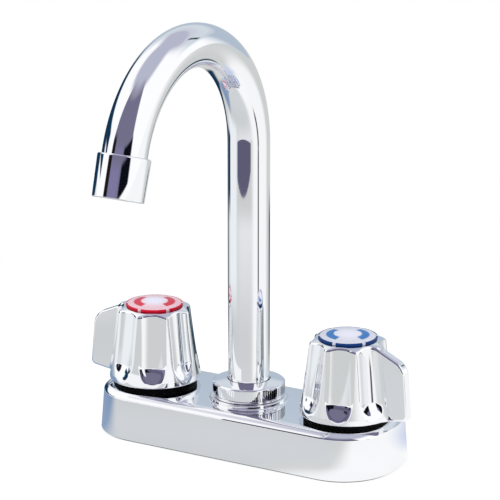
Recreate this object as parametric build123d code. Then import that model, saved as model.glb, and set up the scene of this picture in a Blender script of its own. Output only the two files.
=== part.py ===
from build123d import *
import math
import os

# Two-handle bar faucet on 4-inch centres with a swivelling gooseneck spout.
# Frame: +Z up, +X towards the cold handle, -Y towards the user.
# The origin lies on the deck under the spout, so the threaded inlets hang below z = 0.
# All sizes are in millimetres.

os.makedirs("parts", exist_ok=True)

# Clearances
run_gap = 0.05          # running fit of a stem or spout end in its bore, on the radius
slip_gap = 0.15         # pieces that slide over each other when they are put together
air_gap = 0.3           # faces of moving pieces that must never rub

# Base casting
valve_centres = 101.6   # the two inlets and handles, 4 inches apart
base_length = 150.0
base_depth = 55.0
base_front_r = 25.0     # plan radius of the two front corners
base_back_r = 12.0      # the back corners are squarer
base_end_r = 62.0       # plan radius of the gently bowed ends
base_height = 22.0      # deck to the flat top
base_draft = 4.5        # degrees, wider at the deck
base_edge_r = 4.5       # rounded edge round the top
base_wall = 3.0
base_lift = 0.6         # the casting stands this far off the deck on its gasket
boss_r = 17.8           # raised ring under the spout nut
boss_height = 1.8
boss_edge_r = 0.6

# Deck gasket
gasket_inset = 1.1
gasket_thickness = 2.2

# Spout nut
nut_r = 16.7
nut_height = 7.9
nut_edge_r = 1.2
nut_crown = 1.2         # rise of the sloping top towards the tube
nut_lip = 1.9           # thickness of the lip that holds the spout down
nut_foot_relief = 0.5
tube_hole_gap = 0.35

# Spout tube
tube_r = 9.525          # 3/4 inch tube
tube_wall = 1.2
leg_top = 141.9         # where the bend starts, above the deck
bend_r = 51.4
bend_angle = 162.5      # degrees round the bend, so that the mouth leans outwards
tail_length = 4.5       # straight end, most of it inside the aerator
tail_in_aerator = 3.0

# Spout foot and its collar on the waterway
collar_r = 13.2
foot_flange_r = 11.6
foot_flange_height = 1.5
foot_depth = 17.0       # spout foot reaching down into the collar, below its flange
foot_bore_r = 6.4
seal_ring_thickness = 1.8
seal_ring_spacing = 4.4
seal_ring_first = 5.0   # first seal ring below the flange
bore_end_gap = 1.0      # bottom of the collar's bore below the spout foot

# Aerator on the spout's mouth
aerator_r = 11.15
aerator_length = 18.1
aerator_taper = 0.35    # the housing is this much smaller at its mouth, on the radius
aerator_bevel = 0.8
aerator_wall = 1.5
aerator_step = 3.2      # length of the upper throat that takes the tube
insert_length = 8.0
insert_recess = 1.0
washer_thickness = 1.6

# Waterway casting inside the base
hub_r = 13.6
hub_floor = 3.2         # underside of the hubs above the deck
gallery_width = 13.0
gallery_height = 10.0
gallery_bore_r = 3.2
top_plate = 3.4         # thickness of the base's top

# Valves
valve_bore_r = 10.0
valve_seat_z = 8.6      # floor of the valve chamber above the deck
feed_bore_r = 5.2       # hole between the shank's bore and the valve
stem_r = 4.0
stem_lug_r = 7.4
stem_lug_height = 3.0
stem_foot_r = 6.0
stem_foot_height = 1.5
bonnet_foot_gap = 0.5
stem_top_gap = 3.3      # end of the stem below the screw well's floor
spline_r = 3.6
lug_half_angle = 14.0   # degrees
stop_clearance = 2.5    # degrees of play at each stop
turn_angle = 90.0
seat_r = 5.0
seat_height = 2.0
seat_lift = 1.5         # height of the spring under the seat
spring_r = 4.6
spring_wall = 0.9
bonnet_flats = 22.0     # across the hexagon
bonnet_hex_height = 3.6
bonnet_guide_r = 8.6
bonnet_guide_top = 7.5  # top of the guide tube above the base's top

# Threaded inlets and what clamps them
shank_r = 10.4          # 1/2 inch pipe thread, over the crests
shank_length = 52.0     # below the deck
shank_bore_r = 6.8
spigot_r = 9.0
spigot_length = 4.0
deck_thickness = 6.0    # sink deck that the washers clamp
deck_washer_r = 19.0
deck_washer_thickness = 1.6
locknut_flats = 30.0
locknut_height = 7.0
locknut_flange_r = 17.0
locknut_flange_height = 2.0
relief_r = 9.6          # plain groove that parts the clamped thread from the coupling's thread
relief_width = 1.6
relief_gap = 0.4        # groove below the locknut

# Handles
handle_angle = 6.0      # degrees that each closed wing points to the front
base_ring_r = 19.6
base_ring_height = 2.0
base_ring_bore_r = 15.2
rim_r = 21.4
rim_height = 2.5
waist_r = 19.2          # radius half way up
shoulder_r = 17.4
shoulder_edge_r = 1.0
crown_r = 13.8
crown_height = 34.4     # above the rim's underside
crown_rise = 1.2        # from the shoulder to the flat crown
flute_count = 8
flute_r = 6.6
flute_outset = 3.4      # the cutter's axis outside the handle's skin
flute_low = 7.8         # where the flute turns outwards into its toe
flute_top_gap = 6.2     # head of the flute below the crown
flute_toe_angle = 34.0  # degrees that the toe leans outwards
flute_toe_run = 14.0
wing_reach = 32.9
wing_thickness = 5.0
wing_top_gap = 1.3      # root of the wing's top edge below the crown
wing_top_fall = 6.1     # how far the top edge drops to the wing's outer corner
wing_lean = 2.2         # the wing's outer edge leans in by this much at the top
wing_root = 0.3         # lower edge at the rim, above the rim's underside
wing_foot = 2.2         # and at the wing's outer corner
wing_toe_r = 2.2
wing_corner_r = 4.0
wing_edge_r = 1.2
cavity_foot_r = 14.6
cavity_top_r = 10.0
cavity_height = 18.0
socket_end_gap = 0.3
screw_head_r = 4.4
screw_head_height = 2.6
screw_shank_r = 2.0
screw_length = 13.0
screw_well_r = 5.2
screw_well_depth = 4.2

# Index buttons
button_r = 13.3
button_rim = 1.1
button_dome = 1.2
button_plug_r = 4.6
button_plug_length = 1.0

# Worked out from the sizes above
base_top = base_height
boss_top = base_top + boss_height
nut_foot = boss_top + slip_gap
nut_top = nut_foot + nut_height
lip_under = nut_top - nut_lip
flange_z = lip_under - air_gap - foot_flange_height
collar_top = flange_z - air_gap
hub_top = base_top - top_plate - slip_gap
rim_z = base_top + base_ring_height + air_gap
half_centres = valve_centres / 2.0
shoulder_height = crown_height - crown_rise
flute_high = crown_height - flute_top_gap
wing_top_inner = crown_height - wing_top_gap
wing_top_outer = wing_top_inner - wing_top_fall
stem_top_z = rim_z + crown_height - screw_well_depth - stem_top_gap


def corner_arc(length, depth, corner_r, end_r):
    """One corner of the outline: its start on the side, its middle and its end on the bow."""
    b = depth / 2.0 - corner_r
    big = end_r - corner_r
    cx = length / 2.0 - end_r
    tilt = math.asin(b / big)
    kx = cx + big * math.cos(tilt)
    mid = (tilt + math.pi / 2.0) / 2.0
    start = (kx, depth / 2.0)
    middle = (kx + corner_r * math.cos(mid), b + corner_r * math.sin(mid))
    end = (cx + end_r * math.cos(tilt), end_r * math.sin(tilt))
    return start, middle, end


def plan_wire(length, depth, front_r, back_r, end_r, z):
    """Closed outline: two straight sides, four corner arcs and two bowed ends."""
    (kx, side), (mx, my), (ex, ey) = corner_arc(length, depth, back_r, end_r)
    (fx, side), (gx, gy), (hx, hy) = corner_arc(length, depth, front_r, end_r)
    tip = length / 2.0
    edges = [
        Line((-kx, side, z), (kx, side, z)),
        ThreePointArc((kx, side, z), (mx, my, z), (ex, ey, z)),
        ThreePointArc((ex, ey, z), (tip, 0, z), (hx, -hy, z)),
        ThreePointArc((hx, -hy, z), (gx, -gy, z), (fx, -side, z)),
        Line((fx, -side, z), (-fx, -side, z)),
        ThreePointArc((-fx, -side, z), (-gx, -gy, z), (-hx, -hy, z)),
        ThreePointArc((-hx, -hy, z), (-tip, 0, z), (-ex, ey, z)),
        ThreePointArc((-ex, ey, z), (-mx, my, z), (-kx, side, z)),
    ]
    return Wire([e for line in edges for e in line.edges()])


def plan_block(inset, low, high):
    """Drafted block between two heights, its skin lying inset within the casting's skin."""
    faces = []
    for z in (low, high):
        grow = inset + math.tan(math.radians(base_draft)) * (z - base_lift)
        wire = plan_wire(
            base_length - 2.0 * grow,
            base_depth - 2.0 * grow,
            base_front_r - grow,
            base_back_r - grow,
            base_end_r - grow,
            z,
        )
        faces.append(Face(wire))
    return loft(faces, ruled=True)


def disc(x, y, z, radius, height):
    """Upright cylinder that stands on z."""
    return Pos(x, y, z) * Cylinder(radius, height, align=(Align.CENTER, Align.CENTER, Align.MIN))


def turned(points):
    """Body of revolution about Z from a closed profile of (radius, height) points."""
    profile = Polyline(*[(r, 0, z) for r, z in points], close=True)
    return revolve(make_face(profile), Axis.Z)


def hexagon(flats, z, height):
    """Hexagonal prism that stands on z, sized across its flats."""
    sketch = RegularPolygon(flats / 2.0, 6, major_radius=False)
    return Pos(0, 0, z) * extrude(sketch, height)


def sector(radius, start, end, z, height):
    """Pie slice between two angles in degrees."""
    count = max(2, int((end - start) / 15.0))
    points = [(0.0, 0.0)]
    for i in range(count + 1):
        angle = math.radians(start + (end - start) * i / count)
        points.append((radius * 1.2 * math.cos(angle), radius * 1.2 * math.sin(angle)))
    slice_face = make_face(Polyline(*points, close=True))
    return (Pos(0, 0, z) * extrude(slice_face, height)) & disc(0, 0, z, radius, height)


def save(shape, name):
    """Write one piece, which must be a single closed solid."""
    found = shape.solids()
    if len(found) != 1:
        raise ValueError(name + " has " + str(len(found)) + " solids")
    export_step(found[0], "parts/" + name + ".step")


# Base casting: drafted skin, rounded top edge, raised ring, open underneath
skin = plan_block(0.0, base_lift, base_top)
skin = fillet(skin.edges().group_by(Axis.Z)[-1], base_edge_r)
boss = disc(0, 0, base_top - 1.0, boss_r, boss_height + 1.0)
boss = fillet(boss.edges().group_by(Axis.Z)[-1], boss_edge_r)
hollow = plan_block(base_wall, base_lift - 1.0, base_top - top_plate)
rebate_top = gasket_thickness + slip_gap
rebate = plan_block(gasket_inset, base_lift - 1.0, rebate_top)
body_shell = skin + boss - hollow - rebate
through = top_plate + boss_height + 2.0
body_shell -= disc(0, 0, base_top - top_plate - 1.0, collar_r + slip_gap, through)
for side in (-1, 1):
    x = side * half_centres
    body_shell -= disc(x, 0, base_top - top_plate - 1.0, valve_bore_r + slip_gap, through)
save(body_shell, "body_shell")

# Deck gasket, nested in the rebate under the casting
gasket = plan_block(gasket_inset + slip_gap, 0.0, gasket_thickness)
for side in (-1, 1):
    gasket -= disc(side * half_centres, 0, -1.0, shank_r + slip_gap, gasket_thickness + 2.0)
save(gasket, "base_gasket")

# Waterway: two valve hubs and the spout collar joined by a gallery
waterway = disc(0, 0, hub_floor, collar_r, collar_top - hub_floor)
gallery_z = (hub_floor + hub_top) / 2.0
gallery = Pos(0, 0, gallery_z) * Box(valve_centres, gallery_width, gallery_height)
waterway += gallery
for side in (-1, 1):
    waterway += disc(side * half_centres, 0, hub_floor, hub_r, hub_top - hub_floor)
spout_bore_r = tube_r + run_gap
spout_bore_floor = flange_z - foot_depth - bore_end_gap
waterway -= disc(0, 0, spout_bore_floor, spout_bore_r, collar_top - spout_bore_floor + 1.0)
passage = Pos(0, 0, gallery_z) * Rot(0, 90, 0) * Cylinder(gallery_bore_r, valve_centres)
waterway -= passage
for side in (-1, 1):
    x = side * half_centres
    waterway -= disc(x, 0, valve_seat_z, valve_bore_r, hub_top - valve_seat_z + 1.0)
    waterway -= disc(x, 0, hub_floor - 1.0, feed_bore_r, valve_seat_z - hub_floor + 2.0)
    waterway -= disc(x, 0, hub_floor - 1.0, spigot_r + slip_gap, spigot_length + 1.0)
save(waterway, "waterway_casting")

# Knurled spout nut: screwed on the collar, its lip holds the spout's flange
nut_profile = [
    (collar_r + slip_gap, nut_foot),
    (nut_r - nut_foot_relief, nut_foot),
    (nut_r, nut_foot + nut_foot_relief),
    (nut_r, nut_top - nut_crown),
    (tube_r + tube_hole_gap, nut_top),
    (tube_r + tube_hole_gap, lip_under),
    (collar_r + slip_gap, lip_under),
]
spout_nut = turned(nut_profile)
rim_edges = [
    e for e in spout_nut.edges().filter_by(GeomType.CIRCLE)
    if abs(e.radius - nut_r) < 0.01 and e.center().Z > nut_top - nut_crown - 0.01
]
spout_nut = fillet(rim_edges, nut_edge_r)
save(spout_nut, "spout_nut")

# Spout tube: straight leg, long bend towards the user, short straight tail
lean = math.radians(bend_angle)
foot_top = flange_z + foot_flange_height
end_y = -bend_r * (1.0 - math.cos(lean))
end_z = leg_top + bend_r * math.sin(lean)
tail_dir = (0.0, -math.sin(lean), math.cos(lean))
mouth_y = end_y + tail_dir[1] * tail_length
mouth_z = end_z + tail_dir[2] * tail_length
half = lean / 2.0
mid_point = (0, -bend_r * (1.0 - math.cos(half)), leg_top + bend_r * math.sin(half))
route = Wire([
    Line((0, 0, foot_top), (0, 0, leg_top)).edge(),
    ThreePointArc((0, 0, leg_top), mid_point, (0, end_y, end_z)).edge(),
    Line((0, end_y, end_z), (0, mouth_y, mouth_z)).edge(),
])
outer_tube = sweep(Pos(0, 0, foot_top) * Circle(tube_r), path=route)
inner_tube = sweep(Pos(0, 0, foot_top) * Circle(tube_r - tube_wall), path=route)
spout_tube = outer_tube - inner_tube
save(spout_tube, "spout_tube")

# Spout foot: brass sleeve brazed to the tube, with a flange and two seal grooves
groove_r = tube_r - seal_ring_thickness + 0.2
foot_low = flange_z - foot_depth
foot_points = [
    (foot_bore_r, foot_low),
    (tube_r, foot_low),
]
for i in (1, 0):
    top = flange_z - seal_ring_first - i * seal_ring_spacing
    low = top - seal_ring_thickness
    foot_points += [(tube_r, low), (groove_r, low), (groove_r, top), (tube_r, top)]
foot_points += [
    (tube_r, flange_z),
    (foot_flange_r, flange_z),
    (foot_flange_r, foot_top),
    (foot_bore_r, foot_top),
]
save(turned(foot_points), "spout_foot")

ring_names = ("spout_seal_ring_upper", "spout_seal_ring_lower")
for i, name in enumerate(ring_names):
    top = flange_z - seal_ring_first - i * seal_ring_spacing - 0.1
    low = top - seal_ring_thickness + 0.2
    ring = turned([(groove_r, low), (tube_r + 0.02, low), (tube_r + 0.02, top), (groove_r, top)])
    save(ring, name)

# Aerator: turned housing, washer above and flow insert below, all on the leaning mouth
mouth_frame = Plane(
    origin=(0, mouth_y, mouth_z),
    x_dir=(1, 0, 0),
    z_dir=tail_dir,
)
top_s = -tail_in_aerator
end_s = top_s + aerator_length
low_r = aerator_r - aerator_taper
housing_points = [
    (tube_r + slip_gap, top_s),
    (aerator_r - aerator_bevel, top_s),
    (aerator_r, top_s + aerator_bevel),
    (low_r, end_s - aerator_bevel / 2.0),
    (low_r - aerator_bevel / 2.0, end_s),
    (low_r - aerator_wall, end_s),
    (low_r - aerator_wall, washer_thickness + aerator_step),
    (tube_r - tube_wall, washer_thickness + aerator_step),
    (tube_r - tube_wall, washer_thickness + slip_gap),
    (tube_r + slip_gap, washer_thickness + slip_gap),
]
aerator_housing = mouth_frame * turned(housing_points)
save(aerator_housing, "aerator_housing")
washer = turned([
    (tube_r - tube_wall - 1.4, 0.0),
    (tube_r, 0.0),
    (tube_r, washer_thickness),
    (tube_r - tube_wall - 1.4, washer_thickness),
])
save(mouth_frame * washer, "aerator_washer")
insert_r = low_r - aerator_wall - slip_gap
insert_low = end_s - insert_recess - insert_length
insert = turned([
    (0.0, insert_low + insert_length - 2.0),
    (insert_r - 1.6, insert_low + insert_length - 2.0),
    (insert_r - 1.6, insert_low + insert_length),
    (insert_r, insert_low + insert_length),
    (insert_r, insert_low),
    (insert_r - 1.2, insert_low),
    (insert_r - 1.2, insert_low + insert_length - 4.0),
    (0.0, insert_low + insert_length - 4.0),
])
save(mouth_frame * insert, "aerator_insert")


# Pieces of one valve, made on the Z axis
def make_seat():
    """Rubber seat cup that the spring lifts against the valve."""
    return turned([
        (2.0, valve_seat_z + seat_lift),
        (seat_r, valve_seat_z + seat_lift),
        (seat_r, valve_seat_z + seat_lift + seat_height),
        (2.0, valve_seat_z + seat_lift + seat_height),
    ])


def make_spring():
    """Short sleeve standing in for the small coil under the seat."""
    return turned([
        (spring_r - spring_wall, valve_seat_z),
        (spring_r, valve_seat_z),
        (spring_r, valve_seat_z + seat_lift),
        (spring_r - spring_wall, valve_seat_z + seat_lift),
    ])


seat_top = valve_seat_z + seat_lift + seat_height
lug_z = base_top - 3.0
bonnet_foot = seat_top + stem_foot_height + bonnet_foot_gap


def make_stem():
    """Turning stem: valve foot, stop lug, shaft and the splined end in the handle."""
    stem = disc(0, 0, seat_top, stem_foot_r, stem_foot_height)
    stem += disc(0, 0, seat_top, stem_r, rim_z + cavity_height - seat_top)
    stem += disc(0, 0, seat_top, spline_r, stem_top_z - seat_top)
    lug = sector(stem_lug_r, -lug_half_angle, lug_half_angle, lug_z, stem_lug_height)
    stem += lug
    tap = screw_length + 1.0
    stem -= disc(0, 0, stem_top_z - tap, screw_shank_r - 0.3, tap + 1.0)
    return stem


def make_bonnet(turn_sign):
    """Hexagon bonnet screwed in the hub, with the pocket that stops the stem's lug."""
    hex_z = base_top + slip_gap
    bonnet = disc(0, 0, bonnet_foot, valve_bore_r - slip_gap, hex_z + 1.0 - bonnet_foot)
    bonnet += hexagon(bonnet_flats, hex_z, bonnet_hex_height)
    bonnet += disc(0, 0, base_top, bonnet_guide_r, bonnet_guide_top)
    bonnet -= disc(0, 0, 0, stem_r + run_gap, 80.0)
    start = -lug_half_angle - stop_clearance
    end = turn_angle + lug_half_angle + stop_clearance
    if turn_sign < 0:
        start, end = -end, -start
    depth = lug_z + stem_lug_height + air_gap - bonnet_foot
    pocket = sector(stem_lug_r + air_gap, start, end, bonnet_foot - 1.0, depth + 1.0)
    return bonnet - pocket


def make_base_ring():
    """Black ring between the base and the turning handle."""
    ring = disc(0, 0, base_top, base_ring_r, base_ring_height)
    ring -= disc(0, 0, base_top - 1.0, base_ring_bore_r, base_ring_height + 2.0)
    return ring


def make_handle():
    """Fluted bell with one wing along +X, hollow under its rim."""
    half_up = (rim_height + shoulder_height) / 2.0
    section = make_face([
        Line((0, 0), (rim_r, 0)),
        Line((rim_r, 0), (rim_r, rim_height)),
        ThreePointArc((rim_r, rim_height), (waist_r, half_up), (shoulder_r, shoulder_height)),
        Line((shoulder_r, shoulder_height), (crown_r, crown_height)),
        Line((crown_r, crown_height), (0, crown_height)),
        Line((0, crown_height), (0, 0)),
    ])
    corner = section.vertices().sort_by_distance((shoulder_r, shoulder_height, 0))[0]
    section = fillet(corner, shoulder_edge_r)
    bell = revolve(Plane.XZ * section, Axis.Z)

    # Flutes: a round cutter that turns outwards at its foot, copied round between the ribs
    slope = (rim_r - shoulder_r) / (shoulder_height - rim_height)
    low_x = rim_r - slope * (flute_low - rim_height) + flute_outset
    high_x = rim_r - slope * (flute_high - rim_height) + flute_outset
    low_end = Vector(low_x, 0, flute_low)
    high_end = Vector(high_x, 0, flute_high)
    toe = math.radians(flute_toe_angle)
    toe_dir = Vector(math.sin(toe), 0, -math.cos(toe))
    foot_end = low_end + toe_dir * flute_toe_run
    ring = Plane(origin=foot_end, z_dir=-toe_dir) * Circle(flute_r)
    bent_line = Polyline(foot_end, low_end, high_end)
    cutter = sweep(ring, path=bent_line, transition=Transition.RIGHT)
    cutter += Pos(high_end) * Sphere(flute_r)
    step = 360.0 / flute_count
    for i in range(flute_count):
        bell -= Rot(0, 0, step * (i + 0.5)) * cutter

    # Wing: flat blade that tapers outwards above and below, standing on one rib
    tip = wing_reach
    head = tip - wing_lean
    inner = shoulder_r - shoulder_edge_r
    root = screw_well_r + 1.0
    knee = rim_r + wing_edge_r
    wing_sketch = Wire([
        Line((root, 0, wing_root), (knee, 0, wing_root)).edge(),
        Line((knee, 0, wing_root), (tip, 0, wing_foot)).edge(),
        Line((tip, 0, wing_foot), (head, 0, wing_top_outer)).edge(),
        Line((head, 0, wing_top_outer), (inner, 0, wing_top_inner)).edge(),
        Line((inner, 0, wing_top_inner), (root, 0, wing_top_inner)).edge(),
        Line((root, 0, wing_top_inner), (root, 0, wing_root)).edge(),
    ])
    blade = extrude(Face(wing_sketch), wing_thickness / 2.0, both=True)
    for corner_x, corner_z, corner_r in ((head, wing_top_outer, wing_corner_r), (tip, wing_foot, wing_toe_r)):
        corner = [
            e for e in blade.edges().filter_by(Axis.Y)
            if abs(e.center().X - corner_x) < 0.01 and abs(e.center().Z - corner_z) < 0.01
        ]
        blade = fillet(corner, corner_r)
    soft = [
        e for e in blade.edges()
        if e.center().X > shoulder_r and not (e.geom_type == GeomType.LINE and abs(e.tangent_at(0.5).Y) > 0.9)
    ]
    blade = fillet(soft, wing_edge_r)
    handle = bell + blade

    # Hollow underside with a hub round the stem, and a well for the screw at the top
    cavity = turned([
        (0.0, -1.0),
        (cavity_foot_r, -1.0),
        (cavity_foot_r, 2.0),
        (cavity_top_r, cavity_height),
        (0.0, cavity_height),
    ])
    handle -= cavity
    socket_top = stem_top_z - rim_z + socket_end_gap
    handle -= disc(0, 0, cavity_height - 1.0, spline_r + run_gap, socket_top - cavity_height + 1.0)
    handle -= disc(0, 0, cavity_height, screw_shank_r + 0.2, 20.0)
    handle -= disc(0, 0, crown_height - screw_well_depth, screw_well_r, 20.0)
    return handle


def make_screw():
    """Pan-head screw that holds the handle on its stem."""
    head_z = crown_height - screw_well_depth
    screw = disc(0, 0, head_z, screw_head_r, screw_head_height)
    screw += disc(0, 0, head_z - screw_length, screw_shank_r - 0.35, screw_length)
    slot = Pos(0, 0, head_z + screw_head_height) * Box(1.2, 2.4 * screw_head_r, 1.6)
    return screw - slot


def make_button():
    """Clear index button: low dome on a rim, with a plug in the screw's well."""
    top = crown_height + button_rim
    rise = button_dome
    ball = (button_r ** 2 + rise ** 2) / (2.0 * rise)
    half_turn = math.asin(button_r / ball) / 2.0
    mid_x = ball * math.sin(half_turn)
    mid_z = top + rise - ball * (1.0 - math.cos(half_turn))
    dome = Wire([
        Line((0, 0, crown_height), (button_r, 0, crown_height)).edge(),
        Line((button_r, 0, crown_height), (button_r, 0, top)).edge(),
        ThreePointArc((button_r, 0, top), (mid_x, 0, mid_z), (0, 0, top + rise)).edge(),
        Line((0, 0, top + rise), (0, 0, crown_height)).edge(),
    ])
    button = revolve(Face(dome), Axis.Z)
    button += disc(0, 0, crown_height - button_plug_length, button_plug_r, button_plug_length + 0.5)
    return button


handle = make_handle()
handle_screw = make_screw()
index_button = make_button()
valve_stem = make_stem()
valve_seat = make_seat()
seat_spring = make_spring()
base_ring = make_base_ring()

# Inlet shank, washer and locknut of one side, made on the Z axis
locknut_top = -deck_thickness - deck_washer_thickness
relief_top = locknut_top - locknut_height - relief_gap
relief_low = relief_top - relief_width
shank = turned([
    (shank_bore_r, -shank_length),
    (shank_r - 0.8, -shank_length),
    (shank_r, -shank_length + 0.8),
    (shank_r, relief_low),
    (relief_r, relief_low),
    (relief_r, relief_top),
    (shank_r, relief_top),
    (shank_r, hub_floor),
    (spigot_r, hub_floor),
    (spigot_r, hub_floor + spigot_length),
    (shank_bore_r, hub_floor + spigot_length),
])
deck_washer = turned([
    (shank_r + slip_gap, -deck_thickness - deck_washer_thickness),
    (deck_washer_r, -deck_thickness - deck_washer_thickness),
    (deck_washer_r, -deck_thickness),
    (shank_r + slip_gap, -deck_thickness),
])
locknut = hexagon(locknut_flats, locknut_top - locknut_height, locknut_height - 0.5)
locknut += disc(0, 0, locknut_top - locknut_flange_height, locknut_flange_r, locknut_flange_height)
locknut -= disc(0, 0, locknut_top - locknut_height - 1.0, shank_r + slip_gap, locknut_height + 2.0)

# The closed hot wing points left, the cold one right, both a little to the front
for name, side in (("hot", -1), ("cold", 1)):
    place = Pos(side * half_centres, 0, 0)
    turn = 180.0 + handle_angle if side < 0 else -handle_angle
    on_rim = Pos(side * half_centres, 0, rim_z) * Rot(0, 0, turn)
    save(on_rim * handle, "handle_" + name)
    save(on_rim * handle_screw, "handle_screw_" + name)
    save(on_rim * index_button, "index_button_" + name)
    save(place * Rot(0, 0, turn) * valve_stem, "valve_stem_" + name)
    bonnet = make_bonnet(-side)
    save(place * Rot(0, 0, turn) * bonnet, "valve_bonnet_" + name)
    save(place * valve_seat, "valve_seat_" + name)
    save(place * seat_spring, "seat_spring_" + name)
    save(place * base_ring, "handle_base_ring_" + name)
    save(place * shank, "inlet_shank_" + name)
    save(place * deck_washer, "deck_washer_" + name)
    save(place * locknut, "locknut_" + name)
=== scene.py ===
"""Two-handle bar faucet in polished chrome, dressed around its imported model.

Every size field is in millimetres. The visible sizes were read off one photograph, with the
4 inch distance between the valves as its scale, and the hidden ones are usual sizes. Meshes are
written in metres, in the model's own frame, so each piece's object stays at the origin.
"""

import logging
import math
from dataclasses import dataclass
from enum import Enum
from typing import Callable, Sequence

import bpy
import numpy as np
from mathutils import Matrix, Vector
from mathutils.geometry import tessellate_polygon


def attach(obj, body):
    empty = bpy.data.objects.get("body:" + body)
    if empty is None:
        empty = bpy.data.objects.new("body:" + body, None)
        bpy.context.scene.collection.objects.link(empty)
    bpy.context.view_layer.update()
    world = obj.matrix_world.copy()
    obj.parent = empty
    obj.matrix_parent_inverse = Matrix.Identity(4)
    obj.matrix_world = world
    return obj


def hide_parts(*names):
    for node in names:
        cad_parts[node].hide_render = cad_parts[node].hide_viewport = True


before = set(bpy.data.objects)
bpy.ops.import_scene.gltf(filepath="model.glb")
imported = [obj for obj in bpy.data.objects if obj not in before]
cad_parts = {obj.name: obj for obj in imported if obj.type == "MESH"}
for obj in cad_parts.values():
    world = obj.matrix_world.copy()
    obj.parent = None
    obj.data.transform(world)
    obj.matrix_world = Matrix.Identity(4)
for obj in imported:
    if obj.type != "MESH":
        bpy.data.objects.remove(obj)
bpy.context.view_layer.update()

MM = 0.001
# Half of the 4 inch distance between the two valves' axes
HALF_CENTRES = 50.8
# The part of a noise's range where most of its values lie
NOISE_SPAN = (0.3, 0.7)
QUARTER = math.pi / 2.0
LOG = logging.getLogger("faucet")
Point = tuple[float, float]
Colour = tuple[float, float, float]
Socket = bpy.types.NodeSocket


class Body(Enum):
    """The rigid bodies that pieces ride on."""

    BASE = "faucet_base"
    SPOUT = "spout"
    HOT = "hot_handle"
    COLD = "cold_handle"


class Side(Enum):
    """The two valves, by the sign of their place on the X axis."""

    HOT = -1
    COLD = 1

    @property
    def label(self) -> str:
        """The side's name in lower case."""
        return self.name.lower()

    @property
    def axis_x(self) -> float:
        """Where the valve's axis stands on X."""
        return self.value * HALF_CENTRES


# ---------------------------------------------------------------- node helpers


class Graph:
    """Adds and joins nodes in one node tree."""

    def __init__(self, tree: bpy.types.NodeTree) -> None:
        """Keep the tree that this helper fills.

        Args:
            tree: An empty shader or geometry tree.
        """
        self.tree = tree

    def add(self, kind: str, feeds: dict | None = None, **settings: object) -> bpy.types.Node:
        """Add one node.

        Args:
            kind: The node's type name.
            feeds: Values or sockets for its inputs, by name or number.
            settings: Attributes to set on it.

        Returns:
            The new node.
        """
        node = self.tree.nodes.new(kind)
        for name, value in settings.items():
            setattr(node, name, value)
        self.feed(node, feeds or {})
        return node

    def feed(self, node: bpy.types.Node, feeds: dict) -> None:
        """Set or link several inputs of one node.

        Args:
            node: The node.
            feeds: Numbers, vectors, colours or output sockets, by the input's name or number.
        """
        for key, value in feeds.items():
            socket = node.inputs[key]
            if isinstance(value, Socket):
                self.tree.links.new(value, socket)
            else:
                socket.default_value = (*value, 1.0) if socket.type == "RGBA" else value

    def math(self, operation: str, *values: object) -> Socket:
        """Add a Math node.

        Args:
            operation: The operation's name.
            values: Its inputs, numbers or sockets.

        Returns:
            The result's socket.
        """
        return self.add("ShaderNodeMath", dict(enumerate(values)), operation=operation).outputs[0]

    def product(self, first: object, *others: object) -> Socket:
        """Multiply numbers together.

        Args:
            first: A number or a socket.
            others: More of them.

        Returns:
            The result's socket.
        """
        for other in others:
            first = self.math("MULTIPLY", first, other)
        return first

    def ramp(self, value: Socket, low: float, high: float, out_low: float = 0.0, out_high: float = 1.0) -> Socket:
        """Ease a number from one range to another, held at both ends.

        Args:
            value: The socket that drives it.
            low: Where the change starts.
            high: Where it ends.
            out_low: The result at or before the start.
            out_high: The result at or past the end.

        Returns:
            The result's socket.
        """
        return self.add("ShaderNodeMapRange", {
            "Value": value, "From Min": low, "From Max": high, "To Min": out_low, "To Max": out_high,
        }, interpolation_type="SMOOTHSTEP").outputs["Result"]

    def fall(self, value: Socket, low: float, high: float) -> Socket:
        """Ease from 1 down to 0 between two values."""
        return self.ramp(value, low, high, 1.0, 0.0)

    def mix(self, factor: Socket, first: object, second: object) -> Socket:
        """Blend two colours.

        Args:
            factor: 0 gives the first colour and 1 the second.
            first: A colour or a socket.
            second: A colour or a socket.

        Returns:
            The blended colour's socket.
        """
        return self.add("ShaderNodeMix", {0: factor, 6: first, 7: second}, data_type="RGBA").outputs[2]

    def noise(self, coords: Socket, scale: float, detail: float = 3.0, rough: float = 0.5) -> Socket:
        """Add a noise texture.

        Args:
            coords: The coordinates' socket.
            scale: Cells to the metre.
            detail: Octaves.
            rough: Weight of the finer octaves.

        Returns:
            The noise value's socket.
        """
        feeds = {"Vector": coords, "Scale": scale, "Detail": detail, "Roughness": rough}
        return self.add("ShaderNodeTexNoise", feeds).outputs[0]

    def parts(self, vector: Socket) -> tuple[Socket, ...]:
        """The X, Y and Z of a vector."""
        return tuple(self.add("ShaderNodeSeparateXYZ", {0: vector}).outputs)

    def vector(self, x: object = 0.0, y: object = 0.0, z: object = 0.0) -> Socket:
        """A vector of three numbers or sockets."""
        return self.add("ShaderNodeCombineXYZ", {0: x, 1: y, 2: z}).outputs[0]


def blank_graph(owner: bpy.types.Material | bpy.types.World) -> Graph:
    """Empty the node tree of a material or a world.

    Args:
        owner: The material or the world.

    Returns:
        The graph of its tree.
    """
    owner.use_nodes = True
    owner.node_tree.nodes.clear()
    return Graph(owner.node_tree)


def new_material(name: str) -> tuple[bpy.types.Material, Graph, bpy.types.Node, Socket]:
    """Start a material with its shader and its object coordinates.

    Args:
        name: The material's name.

    Returns:
        The material, its graph, its shader node and the coordinates' socket.
    """
    material = bpy.data.materials.new(name)
    graph = blank_graph(material)
    shader = graph.add("ShaderNodeBsdfPrincipled")
    graph.add("ShaderNodeOutputMaterial", {"Surface": shader.outputs[0]})
    return material, graph, shader, graph.add("ShaderNodeTexCoord").outputs["Object"]


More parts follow.
